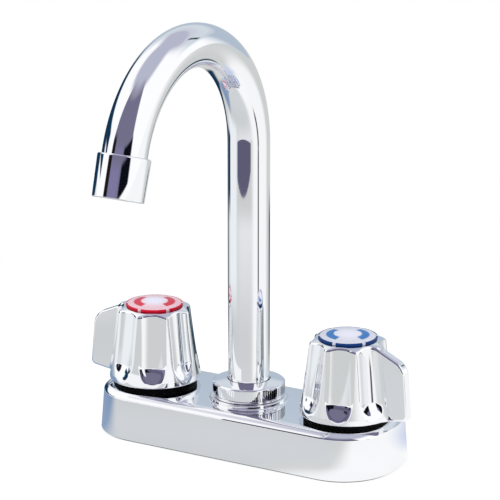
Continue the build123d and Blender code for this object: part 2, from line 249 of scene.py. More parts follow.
def bump(graph: Graph, shader: bpy.types.Node, height: Socket, depth: float) -> None:
    """Press a height pattern into a shader's normal.

    Args:
        graph: The material's graph.
        shader: The shader node.
        height: The pattern, 0 to 1.
        depth: Its depth in millimetres.
    """
    node = graph.add("ShaderNodeBump", {"Distance": depth * MM, "Height": height})
    graph.feed(shader, {"Normal": node.outputs[0]})


# ------------------------------------------------------------------- finishes


@dataclass(frozen=True)
class MetalFinish:
    """Metal with soft changes of polish and a fine grain."""

    name: str
    colour: Colour
    rough_low: float
    rough_high: float
    patch_scale: float = 60.0
    grain_scale: float = 900.0
    grain_depth: float = 0.01
    shade_spread: float = 0.0
    lathe_pitch: float = 0.0

    def material(self) -> bpy.types.Material:
        """Build the finish.

        Returns:
            The material.
        """
        material, graph, shader, coords = new_material(self.name)
        patches = graph.noise(coords, self.patch_scale)
        colour: object = self.colour
        if self.shade_spread:
            colour = graph.mix(patches, tuple(c * (1.0 - self.shade_spread) for c in self.colour), self.colour)
        graph.feed(shader, {
            "Metallic": 1.0, "Base Color": colour,
            "Roughness": graph.ramp(patches, *NOISE_SPAN, self.rough_low, self.rough_high),
        })
        grain = graph.noise(coords, self.grain_scale, 4.0, 0.6)
        if self.lathe_pitch:
            turns = graph.product(graph.parts(coords)[2], math.tau / (self.lathe_pitch * MM))
            rings = graph.math("MULTIPLY_ADD", graph.math("SINE", turns), 0.25, 0.5)
            grain = graph.math("ADD", graph.product(grain, 0.5), graph.product(rings, 0.5))
        bump(graph, shader, grain, self.grain_depth)
        return material


@dataclass(frozen=True)
class MouldedFinish:
    """Moulded rubber or plastic with a fine matt texture and faint scuffs."""

    name: str
    colour: Colour
    scuffed: Colour
    rough_low: float
    rough_high: float
    grain_depth: float = 0.02
    sheen: float = 0.0
    gloss: float = 0.5
    scuff_scale: float = 220.0
    cloud_scale: float = 90.0
    grain_scale: float = 2600.0

    def material(self) -> bpy.types.Material:
        """Build the finish.

        Returns:
            The material.
        """
        material, graph, shader, coords = new_material(self.name)
        scuffs = graph.ramp(graph.noise(coords, self.scuff_scale, 6.0, 0.65), 0.45, 0.8)
        graph.feed(shader, {
            "Base Color": graph.mix(scuffs, self.colour, self.scuffed),
            "Roughness": graph.ramp(
                graph.noise(coords, self.cloud_scale), *NOISE_SPAN, self.rough_low, self.rough_high),
            "Sheen Weight": self.sheen, "Specular IOR Level": self.gloss,
        })
        bump(graph, shader, graph.noise(coords, self.grain_scale, 2.0), self.grain_depth)
        return material


@dataclass(frozen=True)
class IndexFinish:
    """Printed index button under clear plastic: a coloured rim with pale ticks and two coloured arcs."""

    name: str
    print_colour: Colour
    rim_colour: Colour
    pale: Colour
    centre_x: float
    radius: float
    band_top: float
    turn: float = 30.0
    middle: Colour = (0.51, 0.51, 0.59)
    frost_shade: float = 0.86
    tick_count: int = 6
    tick_half: float = 3.2
    lobe_half: float = 50.0
    lobe_soft: float = 6.0
    rim_share: Point = (0.93, 0.95)
    arc_inner: Point = (0.44, 0.50)
    arc_outer: Point = (0.70, 0.76)
    band_soft: float = 0.08
    middle_share: Point = (0.15, 0.75)
    speck_scale: float = 700.0
    frost_scale: float = 1500.0
    wear_scale: float = 300.0
    wave_scale: float = 500.0
    rough: Point = (0.08, 0.16)
    gloss: float = 0.08
    clear_coat: float = 0.05

    def material(self) -> bpy.types.Material:
        """Build the finish.

        Returns:
            The material.
        """
        material, graph, shader, coords = new_material(self.name)
        place = {"Vector": coords, "Location": (self.centre_x * MM, 0.0, 0.0),
                 "Rotation": (0.0, 0.0, math.radians(self.turn))}
        centred = graph.add("ShaderNodeMapping", place, vector_type="TEXTURE").outputs[0]
        x, y, z = graph.parts(centred)
        radius = graph.math("SQRT", graph.math("ADD", graph.product(x, x), graph.product(y, y)))
        share = graph.math("DIVIDE", radius, self.radius * MM)
        angle = graph.math("ADD", graph.math("ARCTAN2", y, x), math.tau)
        # Coloured rim, broken by pale ticks
        half = math.radians(self.tick_half)
        tick = graph.ramp(graph.math("PINGPONG", angle, math.pi / self.tick_count), half * 0.8, half * 1.3)
        band = graph.fall(z, (self.band_top - self.band_soft) * MM, (self.band_top + self.band_soft) * MM)
        rim = graph.product(graph.ramp(share, *self.rim_share), band, tick)
        # Two printed arcs, left and right of the centre
        ends = math.radians(self.lobe_half), math.radians(self.lobe_half + self.lobe_soft)
        arcs = graph.product(graph.fall(graph.math("PINGPONG", angle, QUARTER), *ends),
                             graph.ramp(share, *self.arc_inner), graph.fall(share, *self.arc_outer))
        specks = graph.ramp(graph.noise(centred, self.speck_scale, 5.0, 0.7), 0.35, 0.75, 0.95, 1.0)
        frost = graph.ramp(graph.noise(centred, self.frost_scale, 4.0, 0.8), 0.40, 0.66)
        clear = tuple(c * self.frost_shade for c in self.pale)
        pale = graph.mix(graph.ramp(share, *self.middle_share), self.middle, graph.mix(frost, clear, self.pale))
        printed = graph.mix(graph.product(arcs, specks), pale, self.print_colour)
        graph.feed(shader, {
            "Base Color": graph.mix(rim, printed, self.rim_colour),
            "Roughness": graph.ramp(graph.noise(coords, self.wear_scale), *NOISE_SPAN, *self.rough),
            "Specular IOR Level": self.gloss, "Coat Weight": self.clear_coat, "Coat Roughness": 0.03,
        })
        bump(graph, shader, graph.noise(coords, self.wave_scale), 0.01)
        return material


CHROME = MetalFinish("polished_chrome", (0.91, 0.92, 0.94), 0.025, 0.05, 40.0, 350.0, 0.0006)
CAST_BRASS = MetalFinish("cast_brass", (0.62, 0.46, 0.22), 0.42, 0.62, 90.0, 700.0, 0.12, 0.35)
TURNED_BRASS = MetalFinish("turned_brass", (0.72, 0.55, 0.28), 0.22, 0.34, 60.0, 900.0, 0.02, 0.12, 0.35)
ZINC_STEEL = MetalFinish("zinc_steel", (0.60, 0.61, 0.60), 0.30, 0.46, 140.0, 900.0, 0.03, 0.18)
BLACK_RUBBER = MouldedFinish("black_rubber", (0.018, 0.018, 0.019), (0.045, 0.045, 0.046), 0.62, 0.80, 0.03, 0.1)
# Black plastic of the handles' base rings, made darker and less glossy than plastic is: partly the ring's own
# black, partly painted shade for the gap under each handle's rim
BLACK_PLASTIC_AND_SHADE = MouldedFinish("black_plastic", (0.0015, 0.0015, 0.002), (0.004, 0.004, 0.005), 0.55, 0.70,
                              0.02, 0.0, 0.05)
WHITE_PLASTIC = MouldedFinish("white_plastic", (0.82, 0.82, 0.80), (0.70, 0.70, 0.68), 0.35, 0.50, 0.015)
# Slot, print, rim and pale ground of each side's index button
INDEX_COLOURS = {
    Side.HOT: ("red_index_plastic", (0.40, 0.002, 0.022), (0.40, 0.003, 0.02), (0.54, 0.37, 0.42)),
    Side.COLD: ("blue_index_plastic", (0.003, 0.10, 0.31), (0.003, 0.028, 0.13), (0.46, 0.47, 0.54)),
}


# --------------------------------------------------------------- mesh helpers


def add_object(name: str, data: bpy.types.ID) -> bpy.types.Object:
    """Put a new object into the scene.

    Args:
        name: The object's name.
        data: Its mesh, curve, camera or lamp.

    Returns:
        The object.
    """
    item = bpy.data.objects.new(name, data)
    bpy.context.scene.collection.objects.link(item)
    return item


def placed(spot: Vector, axes: Sequence[Vector]) -> Matrix:
    """The place at a spot whose X, Y and Z point along three directions."""
    return Matrix.Translation(spot) @ Matrix(axes).transposed().to_4x4()


def make_piece(name: str, points: np.ndarray, faces: Sequence[Sequence[int]], material: bpy.types.Material,
               sharp: float = 32.0, normals: np.ndarray | None = None) -> bpy.types.Object:
    """Make an object from points in millimetres, smooth but for its sharp edges.

    Args:
        name: The piece's name.
        points: One row of x, y and z for each vertex, in millimetres.
        faces: Vertex numbers of each face, counter-clockwise from outside.
        material: The piece's finish.
        sharp: Edges that turn by more degrees than this stay sharp.
        normals: One exact normal for each vertex, where the shape gives it.

    Returns:
        The new object.
    """
    mesh = bpy.data.meshes.new(name)
    mesh.from_pydata((np.asarray(points) * MM).tolist(), [], [list(map(int, f)) for f in faces])
    mesh.update()
    mesh.shade_smooth()
    if normals is None:
        mesh.set_sharp_from_angle(angle=math.radians(sharp))
    else:
        mesh.normals_split_custom_set_from_vertices(normals.tolist())
    mesh.materials.append(material)
    return add_object(name, mesh)


def arc(centre: Point, radius: float, start: float, end: float, count: int) -> list[Point]:
    """Points along part of a circle.

    Args:
        centre: The circle's centre.
        radius: Its radius.
        start: The first point's angle, in radians.
        end: The last point's angle.
        count: How many points.

    Returns:
        The points.
    """
    return [(centre[0] + radius * math.cos(t), centre[1] + radius * math.sin(t))
            for t in np.linspace(start, end, count)]


def rounded(corners: Sequence[tuple[float, float, float]], steps: int = 6) -> list[Point]:
    """Round the corners of a closed profile.

    Args:
        corners: Radius, height and rounding of each corner, in order, with rounding 0 where it stays sharp.
        steps: Straight pieces in each round.

    Returns:
        The profile with its rounds as points.
    """
    result: list[Point] = []
    spots = [Vector(corner[:2]) for corner in corners]
    for i, here in enumerate(spots):
        radius = corners[i][2]
        if radius <= 0.0:
            result.append(tuple(here))
            continue
        before = (spots[i - 1] - here).normalized()
        after = (spots[(i + 1) % len(spots)] - here).normalized()
        half = before.angle(after) / 2.0
        reach = radius / math.tan(half)
        centre = here + (before + after).normalized() * (radius / math.sin(half))
        start = here + before * reach - centre
        end = here + after * reach - centre
        sweep = start.angle(end)
        for k in range(steps + 1):
            t = k / steps
            a = math.sin((1.0 - t) * sweep) / math.sin(sweep)
            b = math.sin(t * sweep) / math.sin(sweep)
            result.append(tuple(centre + start * a + end * b))
    return result


def lathe(profile: Sequence[Point], segments: int = 128, centre: Point = (0.0, 0.0)
          ) -> tuple[np.ndarray, list[list[int]]]:
    """Turn a closed profile about an upright axis.

    Args:
        profile: Radius and height of each corner, counter-clockwise with the radius to the right.
        segments: Facets round the axis.
        centre: The axis's x and y.

    Returns:
        The points in millimetres and the faces.
    """
    points: list[list[float]] = []
    rings: list[list[int]] = []
    for radius, height in profile:
        # A corner on the axis is one point
        if radius < 1e-6:
            rings.append([len(points)] * segments)
            points.append([centre[0], centre[1], height])
            continue
        rings.append(list(range(len(points), len(points) + segments)))
        for k in range(segments):
            angle = math.tau * k / segments
            points.append([centre[0] + radius * math.cos(angle), centre[1] + radius * math.sin(angle), height])
    faces = []
    for low, high in zip(rings, rings[1:] + rings[:1]):
        for k in range(segments):
            n = (k + 1) % segments
            face = list(dict.fromkeys((low[k], low[n], high[n], high[k])))
            if len(face) > 2:
                faces.append(face)
    return np.array(points), faces


def round_cut(first: np.ndarray, second: np.ndarray, radius: float) -> np.ndarray:
    """Common part of two distance fields, with a rounded edge.

    Args:
        first: The first distances.
        second: The second distances.
        radius: The edge's radius.

    Returns:
        The combined distances.
    """
    corner = np.hypot(np.maximum(radius + first, 0.0), np.maximum(radius + second, 0.0))
    return np.minimum(-radius, np.maximum(first, second)) + corner


def round_join(first: np.ndarray, second: np.ndarray, radius: float) -> np.ndarray:
    """Union of two distance fields, with a rounded inner corner.

    Args:
        first: The first distances.
        second: The second distances.
        radius: The corner's radius.

    Returns:
        The combined distances.
    """
    return -round_cut(-first, -second, radius)


def surface_net(shape: Callable[[np.ndarray, np.ndarray, np.ndarray], np.ndarray], low: Sequence[float],
                high: Sequence[float], step: float) -> tuple[np.ndarray, np.ndarray, np.ndarray]:
    """Mesh the zero level of a distance field with quads that lie on it.

    Args:
        shape: The field, of arrays of x, y and z in millimetres.
        low: The lowest corner of the box to search.
        high: The highest corner.
        step: The grid's pitch.

    Returns:
        The points, the quads and one normal for each point.
    """
    axes = [np.arange(a, b + step, step) for a, b in zip(low, high)]
    grid = np.meshgrid(*axes, indexing="ij")
    value = shape(*grid)
    size = np.array(value.shape) - 1
    strides = np.array([size[1] * size[2], size[2], 1])
    total = int(np.prod(size))
    sums, counts, quads = np.zeros((3, total)), np.zeros(total), []
    # One quad stands on each grid edge that the surface crosses, between the four cells round it
    for axis in range(3):
        others = [a for a in range(3) if a != axis]
        near = [slice(None)] * 3
        far = [slice(None)] * 3
        near[axis], far[axis] = slice(0, -1), slice(1, None)
        a, b = value[tuple(near)], value[tuple(far)]
        spots = np.argwhere((a < 0) != (b < 0))
        inside = np.all([(spots[:, o] > 0) & (spots[:, o] < size[o]) for o in others], axis=0)
        spots = spots[inside]
        va, vb = a[tuple(spots.T)], b[tuple(spots.T)]
        place = spots.astype(float)
        place[:, axis] += va / (va - vb)
        cells = []
        for du, dv in ((0, 0), (1, 0), (1, 1), (0, 1)):
            cell = spots.copy()
            cell[:, others[0]] -= du
            cell[:, others[1]] -= dv
            index = cell @ strides
            for c in range(3):
                sums[c] += np.bincount(index, place[:, c], total)
            counts += np.bincount(index, minlength=total)
            cells.append(index)
        quad = np.stack(cells, axis=1)
        turn = (va >= 0) ^ (axis == 1)
        quad[turn] = quad[turn][:, ::-1]
        quads.append(quad)
    used = np.flatnonzero(counts)
    number = np.full(total, -1)
    number[used] = np.arange(len(used))
    faces = number[np.concatenate(quads)]
    points = (sums[:, used] / counts[used]).T * step + np.array(low)
    # Slide the points along the field's slope until they lie on the surface
    tiny, passes, least_steep, longest = 0.02, 5, 0.2, 0.4 * step
    for _ in range(passes):
        x, y, z = points.T
        here = shape(x, y, z)
        slope = np.stack([
            shape(x + tiny, y, z) - shape(x - tiny, y, z),
            shape(x, y + tiny, z) - shape(x, y - tiny, z),
            shape(x, y, z + tiny) - shape(x, y, z - tiny),
        ], axis=1) / (2.0 * tiny)
        steep = np.maximum((slope ** 2).sum(1), least_steep)
        move = np.clip(here / steep, -longest, longest)
        points = points - slope * move[:, None]
    normals = slope / np.maximum(np.linalg.norm(slope, axis=1), 1e-6)[:, None]
    return points, faces, normals


def circle_through(a: Point, b: Point, c: Point) -> tuple[float, float, float]:
    """Centre and radius of the circle through three points.

    Args:
        a: The first point.
        b: The second point.
        c: The third point.

    Returns:
        The centre's two coordinates and the radius.
    """
    first, others = np.array(a), np.array([b, c])
    centre = np.linalg.solve(2.0 * (others - first), (others ** 2).sum(1) - (first ** 2).sum())
    return float(centre[0]), float(centre[1]), float(np.hypot(*(first - centre)))


def beyond(x: np.ndarray, z: np.ndarray, start: Point, end: Point) -> np.ndarray:
    """Distance past an upright plane seen edge on, positive to the right of the way from start to end.

    Args:
        x: Along the wing.
        z: Height.
        start: The x and z of a spot on the plane.
        end: The x and z of another.

    Returns:
        The signed distances.
    """
    run, rise = end[0] - start[0], end[1] - start[1]
    return ((x - start[0]) * rise - (z - start[1]) * run) / math.hypot(run, rise)


class LoopMesh:
    """Points and faces gathered from level loops."""

    def __init__(self) -> None:
        """Start without points."""
        self.points: list[np.ndarray] = []
        self.faces: list[list[int]] = []

    def loop(self, flat: np.ndarray, z: float) -> list[int]:
        """Add a level loop.

        Args:
            flat: One row of x and y for each point.
            z: The loop's height.

        Returns:
            The numbers of its points.
        """
        start = sum(len(part) for part in self.points)
        self.points.append(np.column_stack([flat, np.full(len(flat), z)]))
        return list(range(start, start + len(flat)))

    def circle(self, x: float, radius: float, z: float, segments: int = 128) -> list[int]:
        """Add a level circle.

        Args:
            x: Where its centre stands on X.
            radius: Its radius.
            z: Its height.
            segments: How many points it has.

        Returns:
            The numbers of its points.
        """
        angles = np.arange(segments) * math.tau / segments
        return self.loop(np.column_stack([x + radius * np.cos(angles), radius * np.sin(angles)]), z)

    def bands(self, loops: Sequence[Sequence[int]]) -> None:
        """Join each loop to the next one with quads.

        Args:
            loops: Loops of the same number of points, in order.
        """
        for low, high in zip(loops, loops[1:]):
            for k in range(len(low)):
                n = (k + 1) % len(low)
                self.faces.append([low[k], low[n], high[n], high[k]])

    def plate(self, outline: Sequence[int], holes: Sequence[Sequence[int]], up: bool) -> None:
        """Fill a level loop but for its holes.

        Args:
            outline: The loop's points.
            holes: The loops that stay open.
            up: Whether the plate looks up.
        """
        flat = np.concatenate(self.points)
        order = [i for loop in (outline, *holes) for i in loop]
        for corners in tessellate_polygon([[Vector(flat[i]) for i in loop] for loop in (outline, *holes)]):
            a, b, c = (order[i] for i in corners)
            ab, ac = flat[b] - flat[a], flat[c] - flat[a]
            self.faces.append([a, b, c] if (ab[0] * ac[1] > ab[1] * ac[0]) == up else [a, c, b])


# ------------------------------------------------------- geometry-node trees


@dataclass(frozen=True)
class TreeInput:
    """One named input of a geometry-node tree."""

    name: str
    value: float | int
    whole: bool = False


class NodeTree:
    """A geometry-node tree with named inputs, and the mesh that it makes."""

    def __init__(self, name: str, inputs: Sequence[TreeInput]) -> None:
        """Start the tree.

        Args:
            name: The tree's name.
            inputs: Its named sizes.
        """
        self.tree = bpy.data.node_groups.new(name, "GeometryNodeTree")
        self.graph = Graph(self.tree)
        self.tree.interface.new_socket("Geometry", in_out="INPUT", socket_type="NodeSocketGeometry")
        self.inputs = list(inputs)
        self.keys: dict[str, str] = {}
        for item in inputs:
            kind = "NodeSocketInt" if item.whole else "NodeSocketFloat"
            socket = self.tree.interface.new_socket(item.name, in_out="INPUT", socket_type=kind)
            socket.default_value = item.value
            self.keys[item.name] = socket.identifier
        self.tree.interface.new_socket("Geometry", in_out="OUTPUT", socket_type="NodeSocketGeometry")
        self.source = self.graph.add("NodeGroupInput")

    def size(self, name: str) -> Socket:
        """The output socket of one named input."""
        return self.source.outputs[name]

    def sweep(self, route: Socket, radius: str, sides: object) -> Socket:
        """Draw a round bar along a curve.

        Args:
            route: The curve's socket.
            radius: The name of the input that holds the bar's radius.
            sides: How many sides it has, a number or a socket.

        Returns:
            The bar's socket.
        """
        section = self.graph.add(
            "GeometryNodeCurvePrimitiveCircle", {"Resolution": sides, "Radius": self.size(radius)})
        feeds = {"Curve": route, "Profile Curve": section.outputs["Curve"], "Fill Caps": True}
        return self.graph.add("GeometryNodeCurveToMesh", feeds).outputs["Mesh"]

    def close(self, shape: Socket, material: bpy.types.Material) -> None:
        """End the tree with real geometry and its finish.

        Args:
            shape: The geometry's socket.
            material: The finish.
        """
        for kind, feeds in (("GeometryNodeRealizeInstances", {}), ("GeometryNodeSetShadeSmooth", {}),
                            ("GeometryNodeSetMaterial", {"Material": material})):
            shape = self.graph.add(kind, {0: shape, **feeds}).outputs[0]
        self.graph.add("NodeGroupOutput", {0: shape})

    def bake(self, name: str, shape: Socket, material: bpy.types.Material, carrier: bpy.types.ID | None = None,
             sharp: float = 40.0, place: Matrix | None = None) -> bpy.types.Object:
        """End the tree, run it once and keep its result as a plain mesh piece.

        Args:
            name: The piece's name.
            shape: The socket of the geometry that the tree makes.
            material: The piece's finish.
            carrier: The mesh or curve that the tree starts from, or None for an empty mesh.
            sharp: Edges that turn by more degrees than this stay sharp.
            place: Where the result goes, in metres.

        Returns:
            The piece.
        """
        self.close(shape, material)
        holder = add_object(name + "_maker", carrier or bpy.data.meshes.new(name + "_maker"))
        modifier = holder.modifiers.new("shape", "NODES")
        modifier.node_group = self.tree
        for item in self.inputs:
            modifier[self.keys[item.name]] = item.value
        bpy.context.view_layer.update()
        view = holder.evaluated_get(bpy.context.evaluated_depsgraph_get())
        mesh = bpy.data.meshes.new_from_object(view)
        holder.modifiers.remove(modifier)
        bpy.data.objects.remove(holder)
        mesh.name = name
        if place is not None:
            mesh.transform(place)
        mesh.set_sharp_from_angle(angle=math.radians(sharp))
        mesh.materials.clear()
        mesh.materials.append(material)
        return add_object(name, mesh)


# ----------------------------------------------------------------- the pieces


@dataclass
class Workshop:
    """Keeps the finishes and reports each piece."""

    def __post_init__(self) -> None:
        """Build each shared finish once."""
        finishes = (CHROME, CAST_BRASS, TURNED_BRASS, ZINC_STEEL, BLACK_RUBBER,
                    BLACK_PLASTIC_AND_SHADE, WHITE_PLASTIC)
        self.made = {finish.name: finish.material() for finish in finishes}

    def finish(self, style: MetalFinish | MouldedFinish) -> bpy.types.Material:
        """The material of one finish."""
        return self.made[style.name]

    def settle(self, piece: bpy.types.Object, body: Body, slot: str, *nodes: str) -> bpy.types.Object:
        """Let a piece ride on its body and stand for its solids.

        Args:
            piece: The piece.
            body: The body that carries it.
            slot: The name of its finish; not used.
            nodes: The solids that it stands for.

        Returns:
            The piece.
        """
        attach(piece, body.value)
        if nodes:
            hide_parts(*nodes)
        LOG.info("%s rides on %s, %d faces", piece.name, body.value, len(piece.data.polygons))
        return piece

    def dress(self, style: MetalFinish | MouldedFinish, *nodes: str) -> None:
        """Give carried-over solids a finish.

        Args:
            style: The finish.
            nodes: The solids' names.
        """
        for name in nodes:
            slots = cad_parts[name].material_slots
            for slot in slots:
                slot.material = self.finish(style)
            LOG.info("%s keeps its solid, finish %s", name, style.name)


@dataclass
class Base:
    """The drafted casting, its raised ring, its gasket and the waterway inside."""

    shop: Workshop
    length: float = 150.0
    depth: float = 55.0
    front_r: float = 25.0
    back_r: float = 12.0
    end_r: float = 62.0
    height: float = 22.0
    draft: float = 4.5
    edge_r: float = 1.6
    crown_r: float = 6.2
    crown_angle: float = 42.0
    foot_r: float = 0.5
    wall: float = 3.0
    lift: float = 0.6
    top_plate: float = 3.4
    boss_r: float = 17.8
    boss_height: float = 1.8
    boss_edge_r: float = 0.6
    boss_fillet_r: float = 0.5
    collar_hole_r: float = 13.35
    valve_hole_r: float = 10.15
    flat_rim: float = 0.6
    boss_margin: float = 0.4
    end_steps: int = 10
    corner_steps: int = 40
    side_steps: int = 25
    foot_points: int = 5
    edge_points: int = 9
    crown_points: int = 13
    boss_points: int = 6

    def quarter(self, corner_r: float) -> list[tuple[float, float, float, float]]:
        """Sample the outline from the middle of an end to the start of a long side.

        Args:
            corner_r: The corner's radius.

        Returns:
            The arc's centre, radius and angle at each sample, for the quarter with X and Y above 0.
        """
        b = self.depth / 2.0 - corner_r
        big = self.end_r - corner_r
        end_x = self.length / 2.0 - self.end_r
        tilt = math.asin(b / big)
        corner_x = end_x + big * math.cos(tilt)
        bow = [(end_x, 0.0, self.end_r, angle) for angle in np.linspace(0.0, tilt, self.end_steps, endpoint=False)]
        return bow + [(corner_x, b, corner_r, angle) for angle in np.linspace(tilt, QUARTER, self.corner_steps)]

    def outline(self) -> tuple[np.ndarray, np.ndarray]:
        """Sample the plan outline at the deck.

        Returns:
            The points and their outward directions, in the plane.
        """
        points, ways = [], []
        for flip_x, flip_y, corner_r in ((1, 1, self.back_r), (-1, 1, self.back_r),
                                         (-1, -1, self.front_r), (1, -1, self.front_r)):
            part = self.quarter(corner_r)
            side_x = part[-1][0]
            forward = flip_x == flip_y
            for cx, cy, radius, angle in part if forward else part[:0:-1]:
                way = (flip_x * math.cos(angle), flip_y * math.sin(angle))
                points.append((flip_x * cx + radius * way[0], flip_y * cy + radius * way[1]))
                ways.append(way)
            if forward:
                for share in np.linspace(0.0, 1.0, self.side_steps + 1)[1:-1]:
                    points.append((flip_x * side_x * (1.0 - 2.0 * share), flip_y * self.depth / 2.0))
                    ways.append((0.0, float(flip_y)))
        return np.array(points), np.array(ways)

    def skin_profile(self) -> list[Point]:
        """Inset and height from the foot, up the drafted side and over the rounded edge.

        Returns:
            The profile's points.
        """
        lean, meet = math.radians(self.draft), math.radians(self.crown_angle)
        foot = arc((self.foot_r, self.lift + self.foot_r), self.foot_r, -QUARTER, -math.pi, self.foot_points)
        # A tight round low on the edge runs into a wide one up to the flat top
        crown_z = self.height - self.crown_r
        edge_z = crown_z + (self.crown_r - self.edge_r) * math.sin(meet)
        side_z = edge_z + self.edge_r * math.sin(lean)
        edge_d = math.tan(lean) * (side_z - self.lift) + self.edge_r * math.cos(lean)
        crown_d = edge_d + (self.crown_r - self.edge_r) * math.cos(meet)
        heights = [foot[-1][1] + share * (side_z - foot[-1][1]) for share in (0.33, 0.66)]
        return [
            *foot, *((math.tan(lean) * (z - self.lift), z) for z in heights),
            *arc((edge_d, edge_z), self.edge_r, math.pi - lean, math.pi - meet, self.edge_points),
            *arc((crown_d, crown_z), self.crown_r, math.pi - meet, QUARTER, self.crown_points)[1:],
            (crown_d + self.flat_rim, self.height),
        ]

    def shell(self) -> bpy.types.Object:
        """Make the casting as one closed shell, open underneath.

        Returns:
            The piece.
        """
        plan, ways = self.outline()
        ceiling = self.height - self.top_plate
        slope = math.tan(math.radians(self.draft))
        inner = [(self.wall + slope * (ceiling - self.lift), ceiling), (self.wall, self.lift)]
        mesh = LoopMesh()
        skin, under = ([mesh.loop(plan - ways * inset, z) for inset, z in rows]
                       for rows in (self.skin_profile(), inner))
        mesh.bands(skin)
        mesh.bands([*under, skin[0]])
        # Raised ring under the nut, with a small fillet at its foot, and the collar's hole
        fillet, edge = self.boss_fillet_r, self.boss_edge_r
        foot_r, top_z = self.boss_r + fillet, self.height + self.boss_height
        turned = [
            (foot_r + self.boss_margin, self.height),
            *arc((foot_r, self.height + fillet), fillet, -QUARTER, -math.pi, self.boss_points),
            *arc((self.boss_r - edge, top_z - edge), edge, 0.0, QUARTER, self.boss_points),
            (self.collar_hole_r, top_z), (self.collar_hole_r, ceiling),
        ]
        holes = [[mesh.circle(0.0, radius, z) for radius, z in turned]]
        for side in Side:
            holes.append([mesh.circle(side.axis_x, self.valve_hole_r, z) for z in (self.height, ceiling)])
        for hole in holes:
            mesh.bands(hole)
        mesh.plate(skin[-1], [hole[0] for hole in holes], True)
        mesh.plate(under[0], [hole[-1] for hole in holes], False)
        return make_piece("base_casting_skin", np.concatenate(mesh.points), mesh.faces, self.shop.finish(CHROME))

    def build(self) -> None:
        """Make the shell and dress what it holds."""
        self.shop.settle(self.shell(), Body.BASE, "polished_chrome", "body_shell")
        self.shop.dress(BLACK_RUBBER, "base_gasket")
        self.shop.dress(CAST_BRASS, "waterway_casting")


@dataclass
class SpoutNut:
    """The knurled nut that holds the spout down."""

    shop: Workshop
    foot_z: float = 23.95
    height: float = 7.9
    radius: float = 16.7
    crown: float = 1.2
    lip: float = 1.9
    inner_r: float = 13.35
    hole_r: float = 9.875
    edge_r: float = 1.1
    knurl_count: int = 90
    knurl_width: float = 0.62
    knurl_depth: float = 0.5
    knurl_low: float = 1.3
    knurl_high: float = 6.0
    knurl_run_in: float = 0.3
    knurl_run_out: float = 0.2
    rim_step: float = 0.1
    foot_edge_r: float = 0.4
    knurl_edge_r: float = 0.12
    hole_edge_r: float = 0.25
    facets: int = 160

    def body(self) -> bpy.types.Object:
        """Turn the nut under its knurling.

        Returns:
            The piece.
        """
        top = self.foot_z + self.height
        core, rim = self.radius - self.knurl_depth, self.radius - self.rim_step
        low, high = self.foot_z + self.knurl_low, self.foot_z + self.knurl_high
        corners = [
            (self.inner_r, self.foot_z, 0.0), (self.radius, self.foot_z, self.foot_edge_r),
            (self.radius, low - self.knurl_run_in, self.knurl_edge_r), (core, low, 0.0), (core, high, 0.0),
            (rim, high + self.knurl_run_out, self.knurl_edge_r), (rim, top - self.crown, self.edge_r),
            (self.hole_r, top, self.hole_edge_r), (self.hole_r, top - self.lip, 0.0),
            (self.inner_r, top - self.lip, 0.0),
        ]
        return make_piece("spout_nut_body", *lathe(rounded(corners), self.facets), self.shop.finish(CHROME))

    def knurls(self) -> bpy.types.Object:
        """Stand the knurls round the nut.

        Returns:
            The piece.
        """
        work = NodeTree("knurl_ring", (
            TreeInput("Count", self.knurl_count, True),
            TreeInput("Ring Radius", (self.radius - self.knurl_depth) * MM),
            TreeInput("Knurl Depth", 2.0 * self.knurl_depth * MM),
            TreeInput("Knurl Width", self.knurl_width * MM),
            TreeInput("Knurl Height", (self.knurl_high - self.knurl_low) * MM),
            TreeInput("Middle Height", (self.foot_z + (self.knurl_low + self.knurl_high) / 2.0) * MM),
        ))
        graph, size = work.graph, work.size
        ring = graph.add("GeometryNodeMeshCircle", {"Vertices": size("Count"), "Radius": size("Ring Radius")})
        block = graph.vector(size("Knurl Depth"), size("Knurl Width"), size("Knurl Height"))
        knurl = graph.add("GeometryNodeMeshCube", {"Size": block})
        step = graph.math("DIVIDE", math.tau, size("Count"))
        facing = graph.vector(z=graph.product(graph.add("GeometryNodeInputIndex").outputs[0], step))
        stand = graph.add("GeometryNodeInstanceOnPoints", {
            "Points": ring.outputs["Mesh"], "Instance": knurl.outputs["Mesh"], "Rotation": facing})
        raised = graph.add("GeometryNodeTransform", {
            "Geometry": stand.outputs[0], "Translation": graph.vector(z=size("Middle Height"))})
        return work.bake("spout_nut_knurls", raised.outputs[0], self.shop.finish(CHROME), sharp=60.0)

    def build(self) -> None:
        """Make both pieces."""
        self.shop.settle(self.body(), Body.BASE, "polished_chrome", "spout_nut")
        self.shop.settle(self.knurls(), Body.BASE, "polished_chrome")


